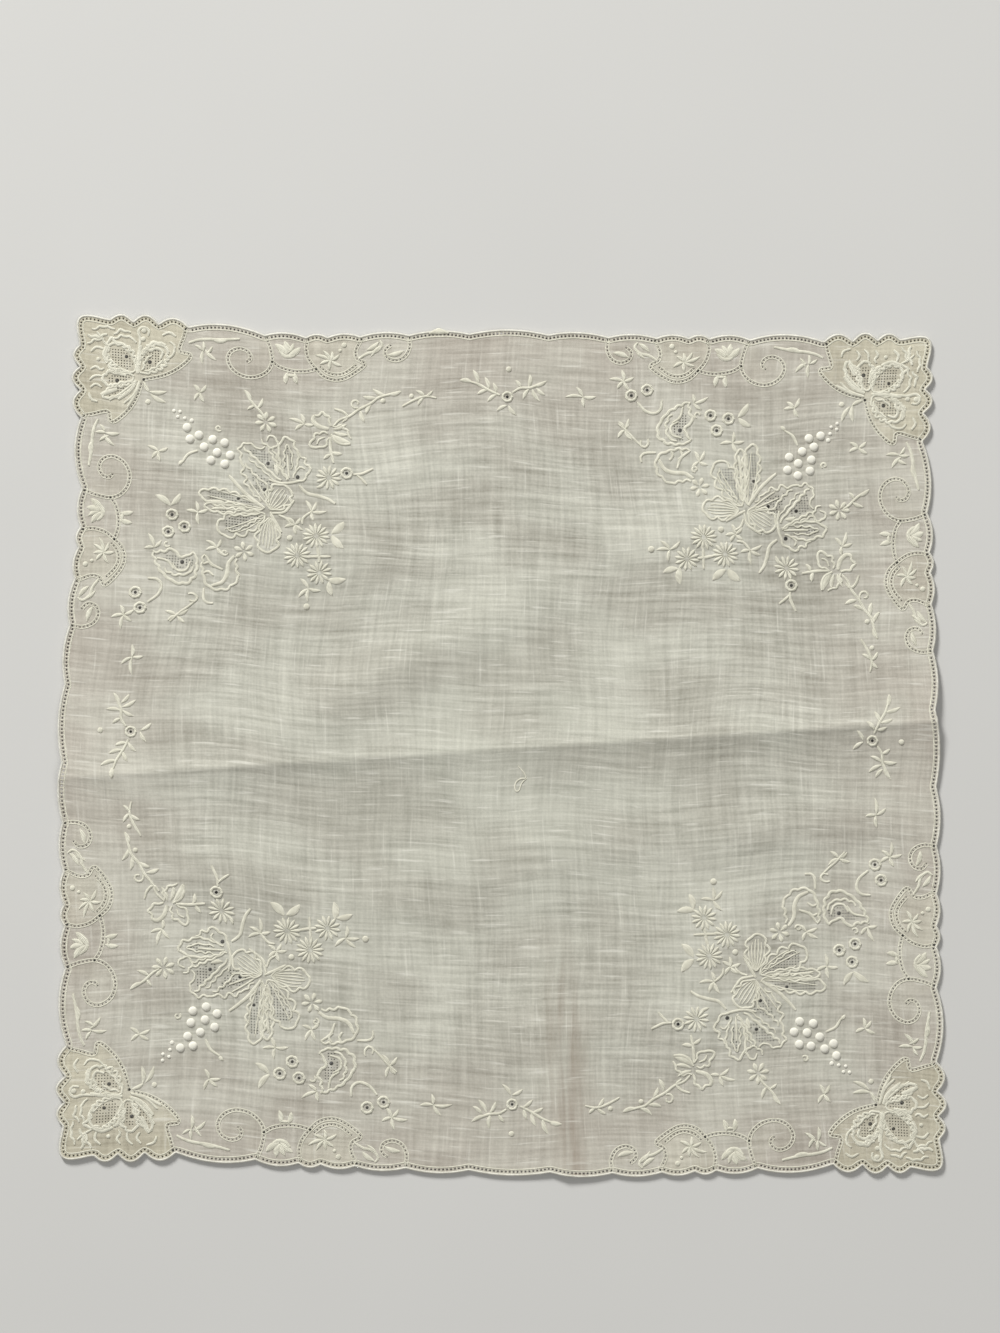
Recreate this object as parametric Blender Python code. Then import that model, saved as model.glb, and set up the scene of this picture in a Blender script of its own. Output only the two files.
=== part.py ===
"""A scalloped handkerchief of fine linen, laid out on a surface with the soft folds of its quarter creases.

Metres, +Z up. The origin is under the middle of the cloth, on the surface that it lies on.
The cloth is worked out twice: first as cut, a square of half side HALF in its own flat frame (u, v),
and then as it lies, pulled a little out of square, in (x, y).
"""

import math

import bmesh
import bpy
import numpy as np
from mathutils import Vector
from mathutils.geometry import delaunay_2d_cdt

MM = 0.001

# The cloth and what stands proud on it.
THICK = 1.0 * MM
EDGE_PROUD = 0.3 * MM
EDGE_WIDE = 1.4 * MM
DOT_RADIUS = 1.7 * MM
DOT_HIGH = 0.7 * MM
DOT_SIDES = 8
DOT_SHOULDER = 0.7

# The spacing of the points that carry the folds, and how clear the inner ones stay of the edge and the dots.
GRID_STEP = 7.2 * MM
CREASE_STEP = 6.0 * MM
CLEAR = 2.6 * MM

# The scalloped edge, from a corner to the middle of a side: (name, width in mm, crest in mm, segments).
# The last one is cut in two by the middle of the side, and its width is the half that is counted.
CORNER_LOBE = 10.3 * MM
SCALLOPS = (
    ("fan one", 7.5, 2.1, 4),
    ("fan two", 8.3, 2.7, 4),
    ("fan three", 9.7, 2.6, 5),
    ("long", 24.7, 2.3, 6),
    ("shield", 13.5, 1.4, 4),
    ("bead", 7.0, 1.2, 3),
    ("leaf", 10.7, 1.2, 3),
    ("curl", 16.0, 1.2, 5),
    ("plain", 20.0, 1.3, 5),
)
MIDDLE_HALF, MIDDLE_CREST, MIDDLE_SEGMENTS = 13.0 * MM, 1.4 * MM, 6
HALF = CORNER_LOBE + sum(row[1] for row in SCALLOPS) * MM + MIDDLE_HALF
LOBE_BULGE = 0.9 * MM
LOBE_SQUARENESS = 6.0
LOBE_SEGMENTS = 12

# How the cloth lies: its four corners, how far each side bows outwards at each eighth of its length, and how far
# its middle has slid along it, towards +X or +Y, all in mm. The sides run from the left and from the bottom.
CORNERS = {
    "top_left": (-139.8, 141.5),
    "top_right": (141.2, 134.3),
    "bottom_right": (144.9, -140.2),
    "bottom_left": (-145.8, -136.4),
}
BOWS = {
    "top": (0.0, -2.6, -5.1, -3.6, -2.2, -2.5, -2.1, -2.1, 0.0),
    "right": (0.0, -1.0, -0.6, -0.1, -0.1, -0.5, -1.2, -2.9, 0.0),
    "bottom": (0.0, -2.2, 0.6, 1.9, 2.5, 2.7, 1.2, -1.2, 0.0),
    "left": (0.0, -1.0, 0.3, 1.7, 2.4, 0.7, -2.2, -1.4, 0.0),
}
SLIDES = {"top": 1.5, "right": 1.8, "bottom": 2.8, "left": 4.6}

# Sharp creases from folding in four: ends in mm, height at each end, and reach on the left and right of the line.
CREASES = (
    {"name": "across", "start": (-147, -11), "end": (145, 8), "high": (1.5, 2.5), "reach": (17, 10)},
    {"name": "upright", "start": (-1, 137), "end": (21, -144), "high": (0.5, 0.8), "reach": (9, 7)},
)
# Soft waves: middle in mm, half length, half width, the angle of the length in degrees, and height.
WAVES = (
    {"name": "slanting", "at": (-32, 26), "long": 46, "wide": 10, "turn": 27, "high": 1.5},
    {"name": "upper left", "at": (-52, 62), "long": 40, "wide": 13, "turn": -8, "high": 0.7},
    {"name": "upper right", "at": (74, 74), "long": 48, "wide": 12, "turn": 12, "high": 0.8},
    {"name": "right", "at": (88, -28), "long": 44, "wide": 9, "turn": 6, "high": 1.0},
    {"name": "middle", "at": (6, -40), "long": 42, "wide": 12, "turn": 14, "high": 0.8},
    {"name": "lower left", "at": (-88, -44), "long": 42, "wide": 11, "turn": -14, "high": 0.9},
    {"name": "lower", "at": (30, -96), "long": 52, "wide": 12, "turn": 4, "high": 0.7},
)
SETTLED = 0.08 * MM

# The padded dots of one corner's grape cluster, worked from a point in from the corner along each side.
CLUSTER_TIP = (36.0 * MM, 35.8 * MM)
CLUSTER_ROWS = (1, 2, 2, 3, 2)
CLUSTER_ROW_STEP = 4.0 * MM
CLUSTER_GAP = 4.0 * MM
CLUSTER_TURN = math.radians(45)


def smooth_steps(values, share):
    """The values at even steps along 0 to 1, read as one smooth (Catmull-Rom) curve."""
    values = np.asarray(values, float)
    padded = np.concatenate([[2 * values[0] - values[1]], values, [2 * values[-1] - values[-2]]])
    place = np.clip(share, 0, 1) * (len(values) - 1)
    span = np.minimum(place.astype(int), len(values) - 2)
    t = place - span
    a, b, c, d = (padded[span + k] for k in range(4))
    return b + 0.5 * t * (c - a + t * (2 * a - 5 * b + 4 * c - d + t * (3 * (b - c) + d - a)))


def as_it_lies(points):
    """Points of the cut square carried to where they lie: a patch spanned by the four bowed sides."""
    share = (points + HALF) / (2 * HALF)
    s, t = share[:, :1], share[:, 1:]
    corner = {name: np.array(at) * MM for name, at in CORNERS.items()}

    def side(start, end, bow, along, outwards):
        line = corner[start] + (corner[end] - corner[start]) * along
        line = line + np.abs(np.array(outwards[::-1])) * SLIDES[bow] * MM * np.sin(math.pi * along)
        return line + np.array(outwards) * smooth_steps(BOWS[bow], along) * MM

    across = (1 - t) * side("bottom_left", "bottom_right", "bottom", s, (0, -1))
    across += t * side("top_left", "top_right", "top", s, (0, 1))
    upright = (1 - s) * side("bottom_left", "top_left", "left", t, (-1, 0))
    upright += s * side("bottom_right", "top_right", "right", t, (1, 0))
    flat = (1 - t) * (corner["bottom_left"] * (1 - s) + corner["bottom_right"] * s)
    flat += t * (corner["top_left"] * (1 - s) + corner["top_right"] * s)
    return across + upright - flat


def four_times(points):
    """The points of the top side, and the same ones turned clockwise onto the right, bottom and left sides."""
    turned = [points]
    for _ in range(3):
        turned.append(np.stack([turned[-1][:, 1], -turned[-1][:, 0]], axis=1))
    return np.concatenate(turned)


def one_side():
    """The top side's edge from its left corner lobe to its last notch: each scallop is a parabola on its notches."""
    half = [(width * MM, crest * MM, count) for _, width, crest, count in SCALLOPS]
    run = half + [(2 * MIDDLE_HALF, MIDDLE_CREST, MIDDLE_SEGMENTS)] + half[::-1]
    angle = np.linspace(math.pi, math.pi / 2, LOBE_SEGMENTS, endpoint=False)
    across, up = np.abs(np.cos(angle)), np.abs(np.sin(angle))
    reach = CORNER_LOBE + LOBE_BULGE * (1 - np.abs(np.cos(2 * angle)) ** 3)
    radius = reach / (across**LOBE_SQUARENESS + up**LOBE_SQUARENESS) ** (1 / LOBE_SQUARENESS)
    centre = HALF - CORNER_LOBE
    pieces = [np.stack([-centre - radius * across, centre + radius * up], axis=1)]
    start = -centre
    for width, crest, count in run:
        t = np.arange(count) / count
        pieces.append(np.stack([start + width * t, HALF + crest * 4 * t * (1 - t)], axis=1))
        start += width
    return np.concatenate(pieces)


def drawn_in(outline, inset):
    """The outline moved inwards by the inset, square to itself. The outline runs clockwise."""
    ahead = np.roll(outline, -1, axis=0) - np.roll(outline, 1, axis=0)
    ahead /= np.linalg.norm(ahead, axis=1)[:, None]
    return outline + inset * np.stack([ahead[:, 1], -ahead[:, 0]], axis=1)


def cluster():
    """The dots of the top left corner's grape cluster, row by row away from the corner."""
    along = np.array([math.cos(CLUSTER_TURN), -math.sin(CLUSTER_TURN)])
    across = np.array([-along[1], along[0]])
    tip = np.array([-HALF + CLUSTER_TIP[0], HALF - CLUSTER_TIP[1]])
    dots = []
    for row, count in enumerate(CLUSTER_ROWS):
        for place in range(count):
            aside = (place - (count - 1) / 2) * CLUSTER_GAP
            dots.append(tip + along * row * CLUSTER_ROW_STEP + across * aside)
    return np.array(dots)


def from_line(points, crease):
    """(share of the way along, signed distance to the left) of each point from a crease's line."""
    start, end = (np.array(crease[key]) * MM for key in ("start", "end"))
    length = np.linalg.norm(end - start)
    ahead = (end - start) / length
    away = points - start
    return away @ ahead / length, away @ np.array([-ahead[1], ahead[0]])


def lift(points):
    """How high the cloth's underside stands off the surface: creases fall off as exp(-distance / reach),
    waves as a bell along and across, and what is left under SETTLED lies flat."""
    total = np.zeros(len(points))
    for crease in CREASES:
        share, aside = from_line(points, crease)
        high = crease["high"][0] + (crease["high"][1] - crease["high"][0]) * np.clip(share, 0, 1)
        reach = np.where(aside > 0, crease["reach"][0], crease["reach"][1]) * MM
        total += high * MM * np.exp(-np.abs(aside) / reach)
    for wave in WAVES:
        turn = math.radians(wave["turn"])
        away = points - np.array(wave["at"]) * MM
        along = away @ np.array([math.cos(turn), math.sin(turn)]) / (wave["long"] * MM)
        aside = away @ np.array([-math.sin(turn), math.cos(turn)]) / (wave["wide"] * MM)
        total += wave["high"] * MM * np.exp(-(along**2) - aside**2)
    return np.maximum(total - SETTLED, 0)


def proud(points, outline_count, dots):
    """How far the upper side stands above the cloth's thickness: the stitched edge, then each padded dot's dome."""
    raised = np.zeros(len(points))
    raised[:outline_count] = EDGE_PROUD
    for dot in dots:
        away = np.linalg.norm(points - dot, axis=1) / DOT_RADIUS
        raised = np.maximum(raised, DOT_HIGH * np.sqrt(np.clip(1 - away**2, 0, 1)))
    return raised


def far_from(points, others, distance):
    """The points that are at least the distance from all the others."""
    nearest = np.full(len(points), np.inf)
    for other in others:
        nearest = np.minimum(nearest, np.linalg.norm(points - other, axis=1))
    return points[nearest >= distance]


def crease_points():
    """Evenly spaced points along each crease's line, inside the cloth."""
    found = []
    for crease in CREASES:
        start, end = (np.array(crease[key]) * MM for key in ("start", "end"))
        count = round(np.linalg.norm(end - start) / CREASE_STEP)
        found.append(start + (end - start) * np.linspace(0, 1, count)[1:-1, None])
    return np.concatenate(found)


def inner_points(ring, dots):
    """The points inside the edge that carry the folds and the dots."""
    reach = HALF - EDGE_WIDE - CLEAR
    steps = np.linspace(-reach, reach, round(2 * reach / GRID_STEP))
    grid = as_it_lies(np.stack(np.meshgrid(steps, steps), axis=-1).reshape(-1, 2))
    creases = far_from(crease_points(), ring, CLEAR)
    creases = far_from(creases, dots, CLEAR)
    grid = far_from(grid, ring, CLEAR)
    grid = far_from(grid, creases, CLEAR)
    grid = far_from(grid, dots, CLEAR)
    around = np.arange(DOT_SIDES) * math.tau / DOT_SIDES
    foot = np.stack([np.cos(around), np.sin(around)], axis=1) * DOT_RADIUS
    domes = [dots] + [dots + point for point in np.concatenate([foot, foot * DOT_SHOULDER])]
    return np.concatenate([creases, grid, *domes])


def linen_material():
    """Fine bleached linen gone a little ivory: matt, with a faint sheen."""
    material = bpy.data.materials.new("bleached linen lawn")
    material.use_nodes = True
    shader = material.node_tree.nodes["Principled BSDF"]
    shader.inputs["Base Color"].default_value = (0.55, 0.53, 0.45, 1)
    shader.inputs["Roughness"].default_value = 0.85
    shader.inputs["Metallic"].default_value = 0.0
    return material


def build_cloth():
    """One sheet: its underside on the folds, its upper side a thickness above, its edge and dots a little proud."""
    cut = four_times(one_side())
    outline, ring = as_it_lies(cut), as_it_lies(drawn_in(cut, EDGE_WIDE))
    dots = as_it_lies(four_times(cluster()))
    points = np.concatenate([outline, ring, inner_points(ring, dots)])
    rim = list(range(len(outline)))
    made = delaunay_2d_cdt([Vector(point) for point in points], [], [rim], 1, 1e-7)
    flat = np.array([tuple(point) for point in made[0]])
    low = lift(flat)
    high = low + THICK + proud(flat, len(rim), dots)
    flat -= (flat.min(axis=0) + flat.max(axis=0)) / 2
    count = len(flat)
    under = [tuple(reversed(face)) for face in made[2]]
    over = [tuple(corner + count for corner in face) for face in made[2]]
    wall = [(a, a + count, b + count, b) for a, b in zip(rim, rim[1:] + rim[:1])]
    mesh = bpy.data.meshes.new("cloth")
    mesh.from_pydata(np.column_stack([np.tile(flat, (2, 1)), np.concatenate([low, high])]), [], under + over + wall)
    shape = bmesh.new()
    shape.from_mesh(mesh)
    bmesh.ops.recalc_face_normals(shape, faces=shape.faces)
    shape.to_mesh(mesh)
    shape.free()
    mesh.shade_smooth()
    mesh.set_sharp_from_angle(angle=math.radians(40))
    mesh.materials.append(linen_material())
    cloth = bpy.data.objects.new("cloth", mesh)
    bpy.context.scene.collection.objects.link(cloth)
    return cloth


for leftover in list(bpy.data.objects):
    bpy.data.objects.remove(leftover)
build_cloth()
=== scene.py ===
"""A sheer linen handkerchief with whitework embroidery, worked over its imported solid.

Every shape is set out on the cloth as it was cut: a square in millimetres, (u, v), centred on its middle.
laid() carries such points to where the cloth lies, pulled a little out of square and over its soft folds.
The whole design turns a quarter from corner to corner, so each motif is set out once, in the upper left
corner or along the upper side, and quarter_turns() makes the other three.
"""

import math

import bmesh
import bpy
import numpy as np
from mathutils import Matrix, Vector
from mathutils.geometry import delaunay_2d_cdt


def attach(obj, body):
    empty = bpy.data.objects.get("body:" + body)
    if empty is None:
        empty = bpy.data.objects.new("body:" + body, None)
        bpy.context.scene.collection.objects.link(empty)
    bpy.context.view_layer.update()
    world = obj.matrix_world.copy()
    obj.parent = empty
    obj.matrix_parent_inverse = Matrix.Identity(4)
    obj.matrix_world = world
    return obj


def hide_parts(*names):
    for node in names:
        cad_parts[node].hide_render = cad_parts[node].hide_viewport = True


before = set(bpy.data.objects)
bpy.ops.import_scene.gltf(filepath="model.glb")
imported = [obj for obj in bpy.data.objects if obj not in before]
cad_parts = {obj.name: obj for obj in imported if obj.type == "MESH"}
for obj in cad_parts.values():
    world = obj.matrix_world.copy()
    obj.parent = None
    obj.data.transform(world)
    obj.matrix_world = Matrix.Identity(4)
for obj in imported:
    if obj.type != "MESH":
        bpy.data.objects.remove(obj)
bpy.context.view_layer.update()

bl_info = {
    "name": "Whitework handkerchief",
    "version": (1, 0, 0),
    "blender": (4, 5, 0),
    "location": "View3D > Sidebar > Handkerchief",
    "description": "Makes a sheer linen handkerchief with a scalloped pin-stitched hem and padded sprays",
    "category": "Add Mesh",
}

MM = 0.001

# The cut of the cloth, in mm: the width and height of each scallop from a corner to the middle of a side
CORNER_LOBE = 10.3
SCALLOPS = (
    (7.5, 2.1), (8.3, 2.7), (9.7, 2.6), (24.7, 2.3), (13.5, 1.4), (7.0, 1.2), (10.7, 1.2), (16.0, 1.2),
    (20.0, 1.3),
)
MIDDLE_HALF, MIDDLE_CREST = 13.0, 1.4
HALF = CORNER_LOBE + sum(width for width, _ in SCALLOPS) + MIDDLE_HALF
LOBE_BULGE, LOBE_SQUARENESS = 0.9, 6.0

# How the cloth lies, in mm: its corners, how far each side bows outwards at each eighth, and how far the
# middle of each side slid along it
CORNERS = {
    "top_left": (-139.8, 141.5),
    "top_right": (141.2, 134.3),
    "bottom_right": (144.9, -140.2),
    "bottom_left": (-145.8, -136.4),
}
BOWS = {
    "top": (0.0, -2.6, -5.1, -3.6, -2.2, -2.5, -2.1, -2.1, 0.0),
    "right": (0.0, -1.0, -0.6, -0.1, -0.1, -0.5, -1.2, -2.9, 0.0),
    "bottom": (0.0, -2.2, 0.6, 1.9, 2.5, 2.7, 1.2, -1.2, 0.0),
    "left": (0.0, -1.0, 0.3, 1.7, 2.4, 0.7, -2.2, -1.4, 0.0),
}
SLIDES = {"top": 1.5, "right": 1.8, "bottom": 2.8, "left": 4.6}

# The folds, in mm, as in the solid: sharp creases from folding in four, then soft waves. Each crease also
# has a pressed line along its crest, finer than the solid carries: how high it is at even steps along the
# crease
CREASES = {
    "across": {
        "start": (-147, -11), "end": (145, 8), "high": (1.5, 2.5), "reach": (17, 10),
        "pressed": (0.08, 0.2, 0.15, 0.06, 0.1, 0.18, 0.06)},
    "upright": {
        "start": (-1, 137), "end": (21, -144), "high": (0.5, 0.8), "reach": (9, 7),
        "pressed": (0.1, 0.04, 0.02, 0.06, 0.12)},
}
PRESSED_REACH = 1.2
# (middle, reach along, reach across, turn in degrees, height)
WAVES = (
    ((-32, 26), 46, 10, 27, 1.5), ((-52, 62), 40, 13, -8, 0.7), ((74, 74), 48, 12, 12, 0.8),
    ((88, -28), 44, 9, 6, 1.0), ((6, -40), 42, 12, 14, 0.8), ((-88, -44), 42, 11, -14, 0.9),
    ((30, -96), 52, 12, 4, 0.7),
)
SETTLED = 0.08

# The hem's lines of pin-stitching, for the half side from a corner to the middle: the points are (along
# the side, in from it), in mm. A line that starts 1 mm in starts by a notch of the scallops
HEM_LINES = {
    "corner arc": (
        (34.9, 1.0), (34.0, 4.4), (32.9, 7.6), (33.0, 9.3), (36.3, 10.0), (35.4, 12.2), (31.6, 15.8),
        (27.0, 18.5), (20.9, 20.4),
    ),
    "large spiral": (
        (61.1, 1.0), (62.4, 4.8), (63.0, 9.4), (61.6, 12.8), (58.2, 15.2), (54.0, 15.7), (50.3, 13.9),
        (48.5, 10.4), (49.6, 7.2), (52.6, 5.8), (55.3, 6.8), (56.0, 9.0), (54.8, 10.2),
    ),
    "link": (
        (63.0, 9.4), (65.6, 11.2), (69.4, 12.2), (73.6, 12.3), (77.4, 11.4),
    ),
    "pod": (
        (74.7, 1.0), (74.1, 4.2), (75.0, 8.0), (77.4, 11.4), (80.2, 14.2), (84.2, 15.3), (88.2, 14.1),
        (93.4, 10.1), (90.8, 8.0), (90.4, 5.0), (92.3, 1.0),
    ),
    "pod lining": (
        (78.8, 10.6), (81.2, 12.7), (84.4, 13.5), (87.4, 12.6), (90.4, 10.3),
    ),
    "small spiral": (
        (107.8, 1.0), (108.0, 4.6), (106.4, 7.8), (103.4, 9.0), (100.6, 7.8), (100.0, 5.2), (101.8, 3.6),
    ),
}
# The larger holes where two lines meet, or where one starts or ends
JUNCTIONS = [HEM_LINES[name][0] for name in ("corner arc", "large spiral", "link", "pod", "small spiral")]
JUNCTIONS += [HEM_LINES[name][-1] for name in ("pod", "link", "corner arc")]
# The parts of the hem that show denser, each closed by the edge: the hem line it lies within, and how
# dense it is
DENSE_PANELS = {"corner arc": 0.8, "large spiral": 0.12, "pod": 0.3, "small spiral": 0.12}

# The embroidery of one corner, in mm: every place is (in from the left side, down from the upper side).
# Worked by hand, each corner's spray sits a little apart from the pattern: upper left, then clockwise
SPRAY_SHIFTS = ((0.9, 0.2), (-0.9, -1.0), (-0.5, 0.6), (0.3, 0.1))
DOT_CLUSTER = (
    (34.0, 35.9), (34.9, 39.9), (37.9, 38.2), (39.5, 42.2), (42.4, 39.2), (43.7, 43.7),
    (46.3, 39.9), (48.0, 44.1), (41.6, 46.7), (46.1, 47.5),
)
BERRY_TAIL = (
    (29.8, 30.4, 0.62), (31.8, 30.5, 0.6), (31.0, 32.4, 0.6), (33.3, 32.7, 0.62), (35.6, 33.3, 0.75),
)
# (in, down, radius, petals)
DAISIES = ((75.8, 70.2, 4.5, 14), (69.9, 77.3, 4.5, 14), (77.4, 83.0, 4.2, 12), (80.2, 49.6, 4.3, 12))
# (in, down, radius, petals): fewer and fatter petals
STARS = ((60.0, 31.0, 3.7, 7), (52.6, 77.6, 3.4, 6))
# (in, down, outer radius)
EYELETS = (
    (28.7, 67.3, 2.1), (32.9, 71.2, 2.1), (27.7, 73.4, 2.1), (19.1, 95.1, 2.1), (21.1, 100.3, 2.1),
    (86.2, 48.1, 2.1),
)
# An eyelet's hole, as a share of its outer radius
EYELET_HOLE = 0.25
# The larger cut holes among the petals: (in, down, radius), in the sprays and in the corners of the hem
CUT_HOLES = (
    (59.0, 55.0, 0.6), (60.4, 45.6, 0.62), (70.0, 49.7, 0.68), (50.3, 59.2, 0.55), (49.8, 68.8, 0.6),
    (33.0, 83.6, 0.7),
)
CORNER_HOLES = ((15.4, 12.8, 0.62), (23.0, 14.0, 0.68), (12.2, 21.6, 0.7))
# Petals with openwork: (base, tip, width, lobes, belly, blunt). The belly moves the widest place towards
# the tip as it grows over 1, and a lower blunt rounds the tip
OPEN_LEAVES = (
    ((58.5, 61.8), (37.4, 58.8), 6.4, 6, 1.3, 0.5), ((57.5, 63.4), (39.2, 63.2), 4.4, 5, 1.3, 0.5),
    ((59.0, 63.8), (43.8, 71.4), 9.0, 4, 1.35, 0.45),
)
# Petals filled with fine rays, given the same way
RAYED_LEAVES = (
    ((60.4, 65.0), (60.0, 77.2), 7.8, 3, 1.3, 0.5), ((60.6, 61.8), (66.2, 53.2), 8.4, 3, 1.25, 0.45),
)
# Further openwork, each patch inside the outlines round it
OPEN_PATCHES = (
    ((53.8, 40.6), (57.4, 41.6), (60.0, 41.4), (63.8, 48.4), (61.0, 47.8), (57.0, 44.0)),
    ((53.4, 47.4), (57.4, 49.6), (61.8, 52.6), (60.0, 57.6), (56.2, 55.4)),
    ((65.4, 45.4), (65.2, 41.0), (66.8, 37.8), (69.0, 41.0), (68.8, 45.6), (67.2, 48.6)),
    ((26.0, 82.4), (30.0, 80.8), (33.4, 82.6), (36.6, 81.8), (36.4, 85.4), (31.0, 85.6)),
)
# Outlined shapes without openwork: (width of the thread, points)
SPRAY_STEMS = (
    (0.6, ((53.8, 52.4), (56.4, 56.2), (59.4, 60.0))), (0.6, ((56.0, 51.4), (58.0, 55.6), (59.8, 59.4))),
    (0.6, ((59.8, 52.4), (60.2, 55.6), (60.4, 59.2))), (0.7, ((67.2, 50.2), (67.0, 46.0), (67.0, 42.0))),
    (0.75, ((69.6, 47.6), (71.0, 46.0), (72.4, 46.8))),
    (0.9, ((60.4, 51.4), (64.4, 52.2), (68.0, 51.8), (71.4, 50.8))),
    (1.25, ((47.4, 51.4), (50.0, 54.4), (53.4, 57.8), (58.8, 61.6))),
    (1.2, ((70.4, 52.6), (72.8, 55.2), (76.6, 56.2), (79.6, 57.2), (82.0, 58.8))),
    (1.0, ((61.2, 63.2), (65.0, 62.6), (66.6, 61.0), (68.6, 58.0))),
    (1.1, ((60.6, 62.8), (62.4, 66.2), (64.4, 69.6))), (0.85, ((63.4, 63.6), (66.0, 64.6), (67.4, 66.6))),
    (0.9, ((71.2, 66.2), (71.4, 64.2), (73.4, 62.3), (74.2, 61.8))),
    (1.1, ((76.3, 74.2), (76.9, 77.0), (77.2, 79.4))), (0.95, ((72.6, 77.6), (76.8, 77.5), (80.8, 77.4))),
    (0.85, ((24.8, 82.8), (28.4, 83.6), (30.4, 86.2))),
    (0.85, ((30.0, 84.2), (31.6, 86.6), (34.6, 86.2), (35.6, 83.2))),
    (1.4, ((49.6, 79.6), (47.9, 82.4), (47.7, 86.2), (46.4, 89.2), (43.2, 90.8))),
    (0.95, ((40.2, 80.4), (42.6, 83.4), (46.2, 84.8))), (0.9, ((40.0, 83.6), (41.6, 82.8), (43.0, 84.2))),
    (0.9, ((40.2, 86.8), (41.6, 86.0), (43.4, 87.2))),
    (0.95, ((40.8, 91.8), (41.0, 95.4), (42.2, 96.9), (44.2, 96.8))),
    (0.85, ((36.0, 94.4), (37.6, 94.2), (39.0, 95.4), (38.2, 97.0), (36.6, 96.6))),
    (0.85, ((38.0, 97.2), (36.0, 99.2), (33.4, 101.6), (31.0, 104.4))),
    (1.05, ((22.6, 90.0), (25.6, 90.2), (27.2, 92.2), (26.4, 95.4), (23.4, 98.2))),
    (1.05, ((81.1, 35.2), (81.2, 39.6), (82.0, 44.4))),
    (1.5, ((80.6, 32.4), (77.2, 31.4), (75.4, 29.2), (76.0, 27.6))),
    (0.7, ((79.4, 35.4), (77.4, 36.2), (76.8, 37.8))),
    (1.1, ((81.4, 34.2), (82.8, 36.6), (85.2, 37.8), (87.8, 37.8))),
    (0.95, ((82.6, 25.4), (85.4, 26.4), (87.0, 28.4), (85.2, 30.0))),
    (0.95, ((82.4, 31.2), (84.4, 29.2), (87.6, 28.0), (90.8, 25.6), (94.4, 23.8), (97.2, 21.6),
      (100.2, 20.8), (104.2, 19.7))),
    (0.9, ((53.4, 21.0), (55.6, 24.6), (58.4, 27.6), (59.6, 29.6))),
    (0.95, ((88.4, 48.6), (91.2, 48.4), (95.0, 46.7))), (0.95, ((89.6, 48.8), (91.0, 50.2), (92.6, 52.2))),
    (0.95, ((37.4, 43.8), (34.2, 45.4), (32.4, 48.2))),
)
# Outlines whose thread runs in small lobes
SPRAY_LOBED = (
    (0.8, ((57.8, 59.0), (54.8, 56.6), (54.2, 54.8), (52.4, 53.8), (53.2, 51.4), (51.4, 49.8),
      (52.6, 47.6), (51.2, 46.0), (51.8, 43.8), (50.8, 42.2), (52.2, 39.8), (54.8, 39.2), (57.4, 40.8),
      (59.6, 39.8))),
    (0.95, ((52.4, 40.8), (56.6, 44.6), (60.8, 48.4), (64.4, 51.4))),
    (0.6, ((53.8, 44.4), (57.6, 47.4), (61.4, 50.8), (63.2, 52.0))),
    (0.75, ((52.8, 46.6), (56.4, 50.6), (60.0, 53.4))),
    (0.85, ((60.6, 40.2), (62.8, 44.4), (64.8, 48.0), (66.8, 50.8))),
    (0.6, ((62.0, 39.8), (63.6, 43.6), (65.0, 46.4))),
    (0.9, ((66.8, 50.8), (64.8, 46.6), (64.0, 42.2), (64.6, 38.0), (66.8, 35.8), (69.0, 37.4),
      (69.6, 39.8), (70.6, 41.4), (70.0, 45.4), (68.6, 50.0))),
    (0.65, ((65.8, 46.8), (65.8, 42.2), (66.8, 38.6), (68.4, 41.8), (68.2, 47.0))),
    (0.8, ((58.2, 37.4), (60.2, 39.4), (62.6, 39.8), (63.8, 38.2), (62.8, 36.2), (60.8, 35.8),
      (60.4, 37.6))),
    (0.85, ((70.6, 41.6), (72.6, 43.2), (73.0, 45.2), (74.6, 46.6), (73.2, 48.4), (72.4, 50.4),
      (69.0, 51.6))),
    (0.6, ((57.6, 65.2), (52.8, 68.6), (48.8, 71.2), (46.8, 70.2))),
    (1.1, ((23.2, 80.8), (24.8, 84.6), (27.2, 88.0), (31.0, 90.6), (34.6, 91.0), (37.2, 88.6),
      (37.9, 84.6), (37.4, 81.4), (36.0, 79.8))),
    (1.05, ((23.2, 80.8), (26.6, 80.4), (29.6, 79.4), (32.2, 81.8), (34.6, 81.2), (36.2, 79.8))),
    (0.9, ((27.4, 86.6), (30.8, 88.2), (35.4, 87.4), (36.8, 84.6))),
    (1.0, ((39.8, 80.2), (39.5, 84.0), (40.4, 87.8), (41.6, 90.6), (44.6, 92.0), (48.4, 91.2),
      (50.4, 88.8))),
    (0.95, ((50.2, 80.6), (50.8, 84.4), (51.4, 87.6), (49.6, 90.2))),
    (1.0, ((76.2, 28.0), (78.8, 26.8), (80.8, 28.6), (81.2, 31.4))),
    (0.9, ((80.2, 33.6), (76.6, 34.2), (75.4, 36.4), (74.2, 38.4), (77.4, 39.0), (79.8, 38.0),
      (80.6, 35.4))),
    (0.85, ((82.0, 31.8), (84.6, 31.4), (86.8, 33.2), (87.8, 36.0))),
)
# Curls: (in, down, radius, turns, the angle in degrees where it starts)
CURLS = (
    (44.4, 35.0, 1.1, 0.9, 40), (46.4, 78.8, 1.1, 1.0, 0), (89.6, 23.6, 1.7, 0.9, 60),
    (27.6, 77.6, 1.2, 0.7, 30),
)
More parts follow.
